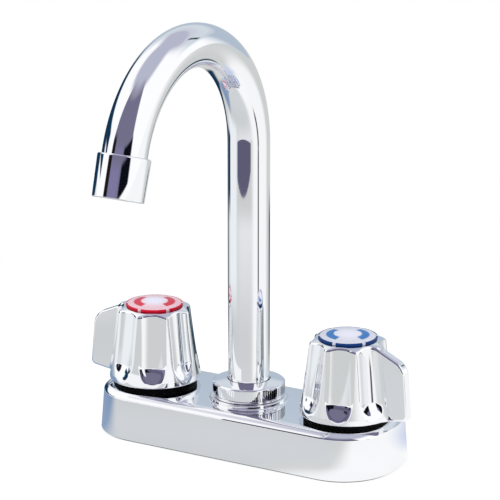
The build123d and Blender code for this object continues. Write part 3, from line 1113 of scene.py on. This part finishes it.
@dataclass
class Spout:
    """The gooseneck tube and the aerator on its mouth."""

    shop: Workshop
    tube_r: float = 9.525
    foot_z: float = 29.65
    leg_top: float = 141.9
    bend_r: float = 51.4
    bend_angle: float = 162.5
    tail: float = 4.5
    aerator_r: float = 11.15
    aerator_length: float = 18.1
    aerator_taper: float = 0.35
    aerator_bevel: float = 0.8
    aerator_wall: float = 1.5
    aerator_top: float = -3.0
    bore_r: float = 8.3
    aerator_lip_r: float = 0.35
    aerator_hole_r: float = 0.3
    aerator_neck_r: float = 0.15
    tube_gap: float = 0.15
    tube_stop: float = 1.75
    insert_stop: float = 4.8
    leg_steps: int = 7
    bend_steps: int = 132
    tube_sides: int = 112

    def bend(self, angle: float) -> tuple[Vector, Vector]:
        """Find a spot of the centre line on the bend.

        Args:
            angle: How far round the bend it lies, in radians.

        Returns:
            The spot, in millimetres, and the line's direction there.
        """
        back = -self.bend_r * (1.0 - math.cos(angle))
        point = Vector((0.0, back, self.leg_top + self.bend_r * math.sin(angle)))
        return point, Vector((0.0, -math.sin(angle), math.cos(angle)))

    def mouth(self) -> Matrix:
        """The leaning frame of the spout's mouth, with Z along the flow, in metres."""
        end, way = self.bend(math.radians(self.bend_angle))
        across = Vector((1.0, 0.0, 0.0))
        return placed((end + way * self.tail) * MM, (across, way.cross(across), way))

    def route(self) -> bpy.types.Curve:
        """Draw the tube's centre line.

        Returns:
            The curve, in metres.
        """
        angles = np.linspace(0.0, math.radians(self.bend_angle), self.bend_steps + 1)
        leg = [Vector((0.0, 0.0, z)) for z in np.linspace(self.foot_z, self.leg_top, self.leg_steps + 1)[:-1]]
        points, ways = zip(*map(self.bend, angles))
        line = [*leg, *points, points[-1] + ways[-1] * self.tail]
        curve = bpy.data.curves.new("spout_route", "CURVE")
        curve.dimensions = "3D"
        spline = curve.splines.new("POLY")
        spline.points.add(len(line) - 1)
        for point, place in zip(spline.points, line):
            point.co = (*(place * MM), 1.0)
        return curve

    def tube(self) -> bpy.types.Object:
        """Draw the tube round its centre line.

        Returns:
            The piece.
        """
        work = NodeTree("tube_on_route", (
            TreeInput("Tube Radius", self.tube_r * MM), TreeInput("Sides", self.tube_sides, True)))
        shape = work.sweep(work.source.outputs["Geometry"], "Tube Radius", work.size("Sides"))
        return work.bake("spout_gooseneck", shape, self.shop.finish(CHROME), self.route())

    def housing(self) -> bpy.types.Object:
        """Turn the aerator's housing.

        Returns:
            The piece.
        """
        top, end = self.aerator_top, self.aerator_top + self.aerator_length
        neck, low_r = self.tube_r + self.tube_gap, self.aerator_r - self.aerator_taper
        hole = low_r - self.aerator_wall
        corners = [
            (neck, top, self.aerator_neck_r), (self.aerator_r, top, self.aerator_bevel),
            (low_r, end, self.aerator_lip_r), (hole, end, self.aerator_hole_r),
            (hole, self.insert_stop, 0.0), (self.bore_r, self.insert_stop, 0.0),
            (self.bore_r, self.tube_stop, 0.0), (neck, self.tube_stop, 0.0),
        ]
        piece = make_piece("aerator_shell", *lathe(rounded(corners)), self.shop.finish(CHROME))
        piece.data.transform(self.mouth())
        return piece

    def build(self) -> None:
        """Make the tube and the housing and dress what they hold."""
        self.shop.settle(self.tube(), Body.SPOUT, "polished_chrome", "spout_tube")
        self.shop.settle(self.housing(), Body.SPOUT, "polished_chrome", "aerator_housing")
        self.shop.dress(WHITE_PLASTIC, "aerator_insert")
        self.shop.dress(BLACK_RUBBER, "aerator_washer", "spout_seal_ring_upper", "spout_seal_ring_lower")
        self.shop.dress(TURNED_BRASS, "spout_foot")


@dataclass
class Handle:
    """One fluted handle with its wing, index button and screw."""

    shop: Workshop
    side: Side
    rim_z: float = 24.3
    closed_angle: float = 6.0
    rim_r: float = 21.4
    rim_height: float = 2.5
    waist_r: float = 19.2
    shoulder_r: float = 17.4
    shoulder_height: float = 33.2
    shoulder_edge_r: float = 1.0
    crown_r: float = 13.8
    crown_height: float = 34.4
    flute_count: int = 8
    flute_r: float = 11.3
    flute_depth: float = 2.5
    flute_strip_z: float = 8.9
    flute_strip_angle: float = 9.8
    flute_toe_z: float = 7.2
    flute_toe_angle: float = 30.0
    flute_toe_soft: float = 0.7
    flute_edge_r: float = 0.9
    wing_reach: float = 32.9
    wing_thickness: float = 5.0
    wing_top_inner: float = 33.1
    wing_top_outer: float = 27.0
    wing_lean: float = 2.2
    wing_root: float = 0.3
    wing_foot: float = 2.2
    wing_toe_r: float = 2.2
    wing_corner_r: float = 4.0
    wing_edge_r: float = 1.2
    wing_join_r: float = 2.2
    wing_well_gap: float = 1.0
    cavity_foot_r: float = 14.6
    cavity_top_r: float = 10.0
    cavity_height: float = 18.0
    cavity_skirt: float = 2.0
    cavity_slope: float = 0.96
    socket_r: float = 3.65
    socket_top: float = 27.2
    well_r: float = 5.2
    well_depth: float = 4.2
    screw_hole_r: float = 2.2
    crown_edge_r: float = 0.3
    foot_edge_r: float = 0.45
    button_r: float = 13.3
    button_rim: float = 1.1
    button_dome: float = 1.2
    button_edge_r: float = 0.35
    button_bevel: float = 0.2
    button_gap: float = 0.02
    button_edge_drop: float = 0.6
    button_edge_sweep: float = 0.85
    button_edge_points: int = 5
    button_dome_points: int = 15
    button_band_rise: float = 0.2
    pitch: float = 0.36
    side_room: float = 1.5
    end_room: float = 1.0

    @property
    def body(self) -> Body:
        """The body that this handle rides on."""
        return Body[self.side.name]

    @property
    def spot(self) -> Matrix:
        """The place of the rim's middle, in metres."""
        return Matrix.Translation(Vector((self.side.axis_x, 0.0, self.rim_z)) * MM)

    @property
    def turn(self) -> Matrix:
        """The turn of the closed wing, which points away from the spout and a little to one side."""
        degrees = 180.0 + self.closed_angle if self.side is Side.HOT else -self.closed_angle
        return Matrix.Rotation(math.radians(degrees), 4, "Z")

    def bell(self, rr: np.ndarray, z: np.ndarray) -> np.ndarray:
        """Distance to the plain bell.

        Args:
            rr: Distance from the axis.
            z: Height above the rim.

        Returns:
            The signed distances, negative inside.
        """
        half_up = (self.rim_height + self.shoulder_height) / 2.0
        cx, cz, radius = circle_through(
            (self.rim_r, self.rim_height), (self.waist_r, half_up), (self.shoulder_r, self.shoulder_height))
        flank = radius - np.hypot(rr - cx, z - cz)
        flank = np.maximum(flank, rr - self.rim_r)
        run, rise = self.shoulder_r - self.crown_r, self.crown_height - self.shoulder_height
        slope = ((rr - self.shoulder_r) * rise + (z - self.shoulder_height) * run) / math.hypot(run, rise)
        top = round_cut(slope, z - self.crown_height, self.crown_edge_r)
        return round_cut(round_cut(flank, top, self.shoulder_edge_r), -z, self.foot_edge_r)

    def flutes(self, x: np.ndarray, y: np.ndarray, z: np.ndarray) -> np.ndarray:
        """Distance to the nearest flute's cutter, whose floor turns outwards at its foot in two steps.

        Args:
            x: Along the wing.
            y: Across it.
            z: Height above the rim.

        Returns:
            The signed distances, negative inside the cutter.
        """
        step = math.tau / self.flute_count
        near = np.mod(np.arctan2(y, x), step) - step / 2.0
        rr = np.hypot(x, y)
        u, v = rr * np.cos(near), rr * np.sin(near)
        taper = (self.rim_r - self.shoulder_r) / (self.shoulder_height - self.rim_height)
        leans = (math.atan(taper), math.radians(self.flute_strip_angle), math.radians(self.flute_toe_angle))
        floor_u, floor_z = self.rim_r - self.flute_depth, self.rim_height
        cuts = []
        for lean, low_z in zip(leans, (self.flute_strip_z, self.flute_toe_z, 0.0)):
            out = (u - floor_u) * math.cos(lean) + (z - floor_z) * math.sin(lean)
            cuts.append(np.hypot(out - self.flute_r, v) - self.flute_r)
            floor_u, floor_z = floor_u + (floor_z - low_z) * math.tan(lean), low_z
        return round_cut(np.maximum(cuts[0], cuts[1]), cuts[2], self.flute_toe_soft)

    def wing(self, x: np.ndarray, y: np.ndarray, z: np.ndarray) -> np.ndarray:
        """Distance to the flat wing, which tapers outwards above and below.

        Args:
            x: Along the wing.
            y: Across it.
            z: Height above the rim.

        Returns:
            The signed distances, negative inside.
        """
        tip = (self.wing_reach, self.wing_foot)
        head = (self.wing_reach - self.wing_lean, self.wing_top_outer)
        neck = (self.shoulder_r - self.shoulder_edge_r, self.wing_top_inner)
        knee = (self.rim_r + self.wing_edge_r, self.wing_root)
        top = np.maximum(beyond(x, z, head, neck), z - self.wing_top_inner)
        under = np.maximum(beyond(x, z, knee, tip), self.wing_root - z)
        plan = round_cut(beyond(x, z, tip, head), top, self.wing_corner_r)
        plan = np.maximum(round_cut(plan, under, self.wing_toe_r), self.well_r + self.wing_well_gap - x)
        return round_cut(plan, np.abs(y) - self.wing_thickness / 2.0, self.wing_edge_r)

    def shape(self, x: np.ndarray, y: np.ndarray, z: np.ndarray) -> np.ndarray:
        """Distance to the whole handle.

        Args:
            x: Along the wing.
            y: Across it.
            z: Height above the rim.

        Returns:
            The signed distances, negative inside.
        """
        rr = np.hypot(x, y)
        solid = round_cut(self.bell(rr, z), -self.flutes(x, y, z), self.flute_edge_r)
        solid = round_join(solid, self.wing(x, y, z), self.wing_join_r)
        solid = np.maximum(solid, -z)
        share = np.clip((z - self.cavity_skirt) / (self.cavity_height - self.cavity_skirt), 0.0, 1.0)
        wall = (rr - self.cavity_foot_r - share * (self.cavity_top_r - self.cavity_foot_r)) * self.cavity_slope
        cavity = np.maximum(wall, z - self.cavity_height)
        socket = np.maximum(rr - self.socket_r, z - self.socket_top)
        well = np.maximum(rr - self.well_r, self.crown_height - self.well_depth - z)
        hole = rr - self.screw_hole_r
        empty = np.minimum(np.minimum(cavity, socket), np.minimum(well, hole))
        return np.maximum(solid, -empty)

    def casting(self) -> bpy.types.Object:
        """Make the handle's casting.

        Returns:
            The piece.
        """
        side, end = self.rim_r + self.side_room, self.end_room
        low, high = (-side, -side, -end), (self.wing_reach + end, side, self.crown_height + end)
        points, faces, normals = surface_net(self.shape, low, high, self.pitch)
        name = "winged_handle_" + self.side.label
        piece = make_piece(name, points, faces, self.shop.finish(CHROME), normals=normals)
        piece.data.transform(self.spot @ self.turn)
        spin = np.array(self.turn.to_3x3())
        piece.data.normals_split_custom_set_from_vertices((normals @ spin.T).tolist())
        return piece

    def button(self) -> bpy.types.Object:
        """Make the index button.

        Returns:
            The piece.
        """
        foot, top = self.crown_height + self.button_gap, self.crown_height + self.button_rim
        ball = (self.button_r ** 2 + self.button_dome ** 2) / (2.0 * self.button_dome)
        span, edge, count = math.asin(self.button_r / ball), self.button_edge_r, self.button_dome_points
        profile = [
            (0.0, foot), (self.button_r - self.button_bevel, foot), (self.button_r, foot + self.button_bevel),
            *arc((self.button_r - edge, top - edge * self.button_edge_drop), edge, 0.0,
                 QUARTER * self.button_edge_sweep, self.button_edge_points),
            *arc((0.0, top + self.button_dome - ball), ball, QUARTER - span * (count - 1) / count, QUARTER, count),
        ]
        slot, *colours = INDEX_COLOURS[self.side]
        # The coloured band ends a little above the rim's top
        band_top = self.rim_z + top + self.button_band_rise
        finish = IndexFinish(slot, *colours, self.side.axis_x, self.button_r, band_top)
        piece = make_piece("index_cap_" + self.side.label, *lathe(profile), finish.material())
        piece.data.transform(self.spot)
        return piece

    def build(self) -> None:
        """Make the casting and the button and dress the valve's own pieces."""
        name = self.side.label
        self.shop.settle(self.casting(), self.body, "polished_chrome", "handle_" + name)
        self.shop.settle(self.button(), self.body, INDEX_COLOURS[self.side][0], "index_button_" + name)
        self.shop.dress(ZINC_STEEL, "handle_screw_" + name, "seat_spring_" + name)
        self.shop.dress(TURNED_BRASS, "valve_stem_" + name, "valve_bonnet_" + name)
        self.shop.dress(BLACK_RUBBER, "valve_seat_" + name)
        # The base ring's near-pure black with little gloss is partly painted shade for the gap under the rim
        self.shop.dress(BLACK_PLASTIC_AND_SHADE, "handle_base_ring_" + name)


@dataclass
class Inlet:
    """One threaded inlet with its washer and locknut."""

    shop: Workshop
    side: Side
    crest_r: float = 10.4
    root_r: float = 9.5
    bore_r: float = 6.8
    length: float = 52.0
    top_z: float = 3.2
    spigot_r: float = 9.0
    spigot_length: float = 4.0
    thread_pitch: float = 1.814
    thread_top: float = -1.0
    relief_top: float = -15.0
    relief_low: float = -16.6
    relief_r: float = 9.6
    relief_lip: float = 0.1
    thread_run_out: float = 0.6
    ridge_share: float = 0.72
    ridge_ends: float = 0.8
    ridge_sides: int = 4
    turn_steps: int = 40
    bore_edge_r: float = 0.4
    foot_edge_r: float = 0.7
    spigot_edge_r: float = 0.3
    facets: int = 72

    def shank(self) -> bpy.types.Object:
        """Turn the shank at the threads' root.

        Returns:
            The piece.
        """
        relief_low, relief_top = self.relief_low + self.relief_lip, self.relief_top - self.relief_lip
        end = self.top_z + self.spigot_length
        corners = [
            (self.bore_r, -self.length, self.bore_edge_r), (self.root_r, -self.length, self.foot_edge_r),
            (self.root_r, self.relief_low, 0.0),
            (self.relief_r, relief_low, 0.0), (self.relief_r, relief_top, 0.0),
            (self.root_r, self.relief_top, 0.0), (self.root_r, self.thread_top, 0.0),
            (self.crest_r, self.thread_top + self.thread_run_out, 0.0), (self.crest_r, self.top_z, 0.0),
            (self.spigot_r, self.top_z, 0.0),
            (self.spigot_r, end, self.spigot_edge_r), (self.bore_r, end, self.spigot_edge_r),
        ]
        points, faces = lathe(rounded(corners, 4), self.facets, (self.side.axis_x, 0.0))
        return make_piece("inlet_tube_" + self.side.label, points, faces, self.shop.finish(TURNED_BRASS))

    def thread(self, name: str, low: float, high: float) -> bpy.types.Object:
        """Wind a run of thread round the shank.

        Args:
            name: The piece's name.
            low: Where its first ridge starts.
            high: Where its last ridge ends.

        Returns:
            The piece.
        """
        ridge = self.crest_r - self.root_r
        run = high - low - 2.0 * self.ridge_ends * ridge
        work = NodeTree("thread_ridge", (
            TreeInput("Turns", run / self.thread_pitch),
            TreeInput("Winding Radius", (self.root_r + (1.0 - self.ridge_share) * ridge) * MM),
            TreeInput("Winding Height", run * MM),
            TreeInput("Ridge Radius", ridge * self.ridge_share * MM),
        ))
        helix = work.graph.add("GeometryNodeCurveSpiral", {
            "Resolution": self.turn_steps, "Rotations": work.size("Turns"), "Height": work.size("Winding Height"),
            "Start Radius": work.size("Winding Radius"), "End Radius": work.size("Winding Radius")})
        shape = work.sweep(helix.outputs["Curve"], "Ridge Radius", self.ridge_sides)
        place = Matrix.Translation(Vector((self.side.axis_x, 0.0, low + self.ridge_ends * ridge)) * MM)
        return work.bake(name, shape, self.shop.finish(TURNED_BRASS), sharp=20.0, place=place)

    def build(self) -> None:
        """Make the shank and its two runs of thread and dress the washer and nut."""
        name = self.side.label
        self.shop.settle(self.shank(), Body.BASE, "turned_brass", "inlet_shank_" + name)
        for part, low, high in (("lower", 0.1 - self.length, self.relief_low),
                                ("upper", self.relief_top, self.thread_top)):
            self.shop.settle(self.thread(f"inlet_thread_{part}_{name}", low, high), Body.BASE, "turned_brass")
        self.shop.dress(ZINC_STEEL, "deck_washer_" + name)
        self.shop.dress(TURNED_BRASS, "locknut_" + name)


# ------------------------------------------------------------------- the studio


@dataclass(frozen=True)
class Zone:
    """A soft-edged patch of tone that polished metal reflects, on the walls or on the floor.

    Centre and half width are degrees round the faucet, 0 at the front and 90 at +X. Low and high
    are degrees above the deck on the walls, and millimetres from the spout's axis on the floor.
    """

    centre: float
    half: float
    low: float
    high: float
    colour: Colour
    soft: float = 4.0
    fade_low: float = 3.0
    fade_high: float = 3.0


NAVY = (0.006, 0.036, 0.085)
CEILING = (0.50, 0.51, 0.63)
FAR = 20000.0
WALL_ZONES = (
    Zone(-175.0, 50.0, 20.0, 40.0, (0.68, 0.73, 0.79), 10.0, 4.0, 4.0),
    Zone(-165.0, 42.0, -8.0, 22.0, (0.47, 0.55, 0.65), 8.0, 3.0, 4.0),
    Zone(0.0, 181.0, 60.0, 95.0, CEILING, 1.0, 6.0, 2.0),
    Zone(178.0, 44.0, 39.0, 95.0, CEILING, 12.0, 7.0, 2.0),
    Zone(12.0, 49.0, 6.0, 66.0, (0.18, 0.17, 0.262), 1.5, 1.0, 11.0),
    Zone(0.0, 20.0, 6.0, 21.0, (0.22, 0.20, 0.36), 6.0, 1.0, 4.0),
    Zone(45.0, 18.0, 5.5, 20.0, (0.003, 0.004, 0.008), 3.0, 0.7, 2.0),
    Zone(-30.0, 8.5, 5.5, 27.0, (0.012, 0.008, 0.010), 2.0, 0.7, 4.0),
    Zone(-98.0, 29.0, 5.0, 17.0, NAVY, 2.0, 1.0, 2.0),
    Zone(-112.0, 21.0, -12.0, 12.0, NAVY, 4.0, 2.0, 3.0),
    Zone(150.5, 1.8, 24.0, 38.0, (0.06, 0.08, 0.10), 0.8, 2.0, 2.0),
)
FLOOR_ZONES = (
    Zone(15.0, 50.0, 260.0, 430.0, (0.83, 0.85, 0.86), 30.0, 160.0, 40.0),
    Zone(-30.0, 60.0, 0.0, 180.0, (0.625, 0.645, 0.66), 10.0, 1.0, 100.0),
    Zone(95.0, 45.0, 0.0, FAR, (1.0, 1.0, 1.0), 12.0, 1.0, 1.0),
    Zone(-66.0, 27.0, 240.0, FAR, (0.90, 0.93, 0.96), 8.0, 60.0, 1.0),
    Zone(-92.0, 22.0, 0.0, 200.0, (0.20, 0.30, 0.48), 8.0, 1.0, 40.0),
    Zone(136.0, 20.0, 0.0, 110.0, (0.55, 0.62, 0.80), 10.0, 1.0, 40.0),
    Zone(-101.0, 12.0, 450.0, 720.0, NAVY, 4.0, 50.0, 20.0),
    Zone(-112.0, 23.0, 700.0, FAR, NAVY, 4.0, 40.0, 1.0),
    Zone(-128.0, 14.0, 170.0, FAR, NAVY, 4.0, 40.0, 1.0),
    Zone(82.0, 3.5, 240.0, 650.0, (0.09, 0.095, 0.11), 1.5, 40.0, 60.0),
    Zone(182.0, 14.0, 120.0, 460.0, (0.008, 0.045, 0.08), 4.0, 40.0, 60.0),
)


def zone_mask(graph: Graph, around: Socket, level: Socket, zone: Zone) -> Socket:
    """Where a direction or a spot falls on a zone.

    Args:
        graph: The graph to add nodes to.
        around: Degrees round the faucet.
        level: Degrees above the deck, or millimetres from the axis.
        zone: The zone.

    Returns:
        A socket that is 1 on the zone and 0 off it.
    """
    away = graph.math("WRAP", graph.math("SUBTRACT", around, zone.centre), 180.0, -180.0)
    return graph.product(
        graph.fall(graph.math("ABSOLUTE", away), zone.half - zone.soft, zone.half + zone.soft),
        graph.ramp(level, zone.low - zone.fade_low, zone.low + zone.fade_low),
        graph.fall(level, zone.high - zone.fade_high, zone.high + zone.fade_high),
    )


def compass(graph: Graph, x: Socket, y: Socket) -> Socket:
    """Degrees round the faucet, 0 at the front and 90 at +X."""
    return graph.math("DEGREES", graph.math("ARCTAN2", x, graph.product(y, -1.0)))


def ray_kinds(graph: Graph) -> tuple[Socket, Socket]:
    """Whether a ray comes from the camera, and whether from polished metal or clear plastic."""
    rays = graph.add("ShaderNodeLightPath").outputs
    return rays["Is Camera Ray"], graph.math("MAXIMUM", rays["Is Glossy Ray"], rays["Is Transmission Ray"])


def painted(graph: Graph, around: Socket, level: Socket, ground: Colour, zones: Sequence[Zone]) -> Socket:
    """Lay zones over a ground tone, each over those before it.

    Args:
        graph: The graph to add nodes to.
        around: Degrees round the faucet.
        level: Degrees above the deck, or millimetres from the axis.
        ground: The tone off every zone.
        zones: The zones, in order.

    Returns:
        The colour's socket.
    """
    colour: object = ground
    for zone in zones:
        colour = graph.mix(zone_mask(graph, around, level, zone), colour, zone.colour)
    return colour


@dataclass
class Studio:
    """The pale floor, the soft lamps, the surroundings and the camera."""

    azimuth: float = 30.0
    elevation: float = 15.4
    distance: float = 1040.0
    focal_pixels: float = 2249.5
    frame_pixels: float = 500.0
    axis_pixel: Point = (248.9, 442.3)
    sensor: float = 36.0
    clip: Point = (0.01, 60.0)
    walls: Colour = (1.07, 1.07, 1.07)
    daylight: Colour = (0.9, 0.9, 0.9)
    backdrop: Colour = (1.0, 1.0, 1.0)
    floor_tone: Colour = (0.655, 0.668, 0.655)
    floor_paint: Colour = (0.85, 0.86, 0.87)
    shadow_reach: Point = (120.0, 340.0)
    shadow_seen: float = 0.72
    contact_reach: Point = (60.0, 200.0)
    contact_seen: float = 0.92
    floor_rings: tuple[float, ...] = (150.0, 400.0, 1200.0, 4000.0, 12000.0)
    floor_sides: int = 96

    def axes(self, azimuth: float, elevation: float) -> tuple[Vector, Vector, Vector]:
        """Right, up and outward directions seen from a place on the studio's sphere.

        Args:
            azimuth: Degrees round from the front, towards +X.
            elevation: Degrees above the deck.

        Returns:
            The three unit vectors.
        """
        a, e = math.radians(azimuth), math.radians(elevation)
        right = Vector((math.cos(a), math.sin(a), 0.0))
        up = Vector((-math.sin(a) * math.sin(e), math.cos(a) * math.sin(e), math.cos(e)))
        back = Vector((math.sin(a) * math.cos(e), -math.cos(a) * math.cos(e), math.sin(e)))
        return right, up, back

    def camera(self) -> None:
        """Place the camera where the photograph was taken."""
        right, up, back = self.axes(self.azimuth, self.elevation)
        scale = self.distance / self.focal_pixels
        shift_x = (self.axis_pixel[0] - self.frame_pixels / 2.0) * scale
        shift_y = -(self.axis_pixel[1] - self.frame_pixels / 2.0) * scale
        spot = (back * self.distance - right * shift_x - up * shift_y) * MM
        data = bpy.data.cameras.new("studio_camera")
        data.sensor_fit = "HORIZONTAL"
        data.sensor_width = self.sensor
        data.lens = self.focal_pixels * self.sensor / self.frame_pixels
        data.clip_start, data.clip_end = self.clip
        camera = add_object("studio_camera", data)
        camera.matrix_world = placed(spot, (right, up, back))
        bpy.context.scene.camera = camera

    def surroundings(self) -> None:
        """Paint the studio's walls: white to the camera, with soft zones for polished metal."""
        world = bpy.data.worlds.new("studio")
        bpy.context.scene.world = world
        graph = blank_graph(world)
        x, y, z = graph.parts(graph.add("ShaderNodeTexCoord").outputs["Generated"])
        level = graph.math("DEGREES", graph.math("ARCSINE", z))
        colour = painted(graph, compass(graph, x, y), level, self.walls, WALL_ZONES)
        camera_ray, mirror_ray = ray_kinds(graph)
        tone = graph.mix(camera_ray, graph.mix(mirror_ray, self.daylight, colour), self.backdrop)
        glow = graph.add("ShaderNodeBackground", {"Color": tone})
        graph.add("ShaderNodeOutputWorld", {"Surface": glow.outputs[0]})

    def floor(self) -> None:
        """Lay the pale floor that keeps the faucet's shadow."""
        material = bpy.data.materials.new("studio_floor")
        graph = blank_graph(material)
        place = graph.add("ShaderNodeTexCoord").outputs["Object"]
        x, y, _ = graph.parts(place)
        span = graph.add("ShaderNodeVectorMath", {0: place}, operation="LENGTH").outputs["Value"]
        reach = graph.math("DIVIDE", span, MM)
        camera_ray, mirror_ray = ray_kinds(graph)
        tone = painted(graph, compass(graph, x, y), reach, self.floor_tone, FLOOR_ZONES)
        matt = graph.add("ShaderNodeBsdfDiffuse", {"Color": self.floor_paint})
        glow = graph.add("ShaderNodeEmission", {"Color": graph.mix(camera_ray, tone, self.backdrop)})
        # The glow hides the lamps' light on the floor, but for the shadow near the faucet
        seen = graph.product(camera_ray, graph.ramp(reach, *self.shadow_reach, self.shadow_seen, 1.0))
        mirrored = graph.product(mirror_ray, graph.ramp(reach, *self.contact_reach, self.contact_seen, 1.0))
        blend = graph.add("ShaderNodeMixShader", {
            0: graph.math("MAXIMUM", seen, mirrored), 1: matt.outputs[0], 2: glow.outputs[0]})
        graph.add("ShaderNodeOutputMaterial", {"Surface": blend.outputs[0]})
        sides = self.floor_sides
        angles = np.linspace(0.0, math.tau, sides, endpoint=False)
        points = [(0.0, 0.0, 0.0)]
        faces = []
        for ring, radius in enumerate(self.floor_rings):
            points += [(radius * math.cos(t), radius * math.sin(t), 0.0) for t in angles]
            for k in range(sides):
                a, b = 1 + ring * sides + k, 1 + ring * sides + (k + 1) % sides
                faces.append([0, a, b] if ring == 0 else [a - sides, a, b, b - sides])
        make_piece("studio_floor", np.array(points), faces, material)

    def cards(self) -> None:
        """Stand the small cards that only the polished metal sees: a violet one ahead, a white strip."""
        # Name, both ends' x and y, foot, top and tone
        for name, start, end, z0, z1, colour in (
            ("violet_card", (-133.0, -200.0), (166.0, -200.0), 71.0, 106.0, (0.115, 0.115, 0.185)),
            ("white_strip", (-80.0, -34.0), (-4.0, -34.0), 20.5, 30.0, (0.98, 0.98, 1.0)),
        ):
            material = bpy.data.materials.new(name)
            graph = blank_graph(material)
            glow = graph.add("ShaderNodeEmission", {"Color": colour})
            graph.add("ShaderNodeOutputMaterial", {"Surface": glow.outputs[0]})
            corners = np.array([(*start, z0), (*end, z0), (*end, z1), (*start, z1)])
            card = make_piece(name, corners, [[0, 1, 2, 3]], material)
            card.visible_camera = card.visible_diffuse = card.visible_shadow = False

    def lamps(self) -> None:
        """Hang soft lamps over the front, the right and the back."""
        aim = Vector((0.0, -0.03, 0.08))
        # Name, degrees round and up, distance and size in metres, and power in watts
        for name, azimuth, elevation, reach, size, power in (
            ("key_softbox", -25.0, 60.0, 1.1, 0.8, 9.0),
            ("fill_softbox", 75.0, 35.0, 1.3, 0.9, 5.0),
            ("back_softbox", 190.0, 50.0, 1.3, 0.8, 5.0),
        ):
            data = bpy.data.lights.new(name, "AREA")
            data.shape, data.size, data.energy = "SQUARE", size, power
            axes = self.axes(azimuth, elevation)
            lamp = add_object(name, data)
            lamp.matrix_world = placed(aim + axes[2] * reach, axes)
            lamp.visible_glossy = False

    def build(self) -> None:
        """Set the whole studio."""
        bpy.context.scene.view_settings.view_transform = "Standard"
        self.camera()
        self.surroundings()
        self.floor()
        self.cards()
        self.lamps()


def main() -> None:
    """Build the faucet's sub-assemblies in order, and the studio round them."""
    logging.basicConfig(level=logging.INFO, format="%(name)s: %(message)s")
    Studio().build()
    shop = Workshop()
    Base(shop).build()
    SpoutNut(shop).build()
    Spout(shop).build()
    for side in Side:
        Handle(shop, side).build()
        Inlet(shop, side).build()


if __name__ == "__main__":
    main()
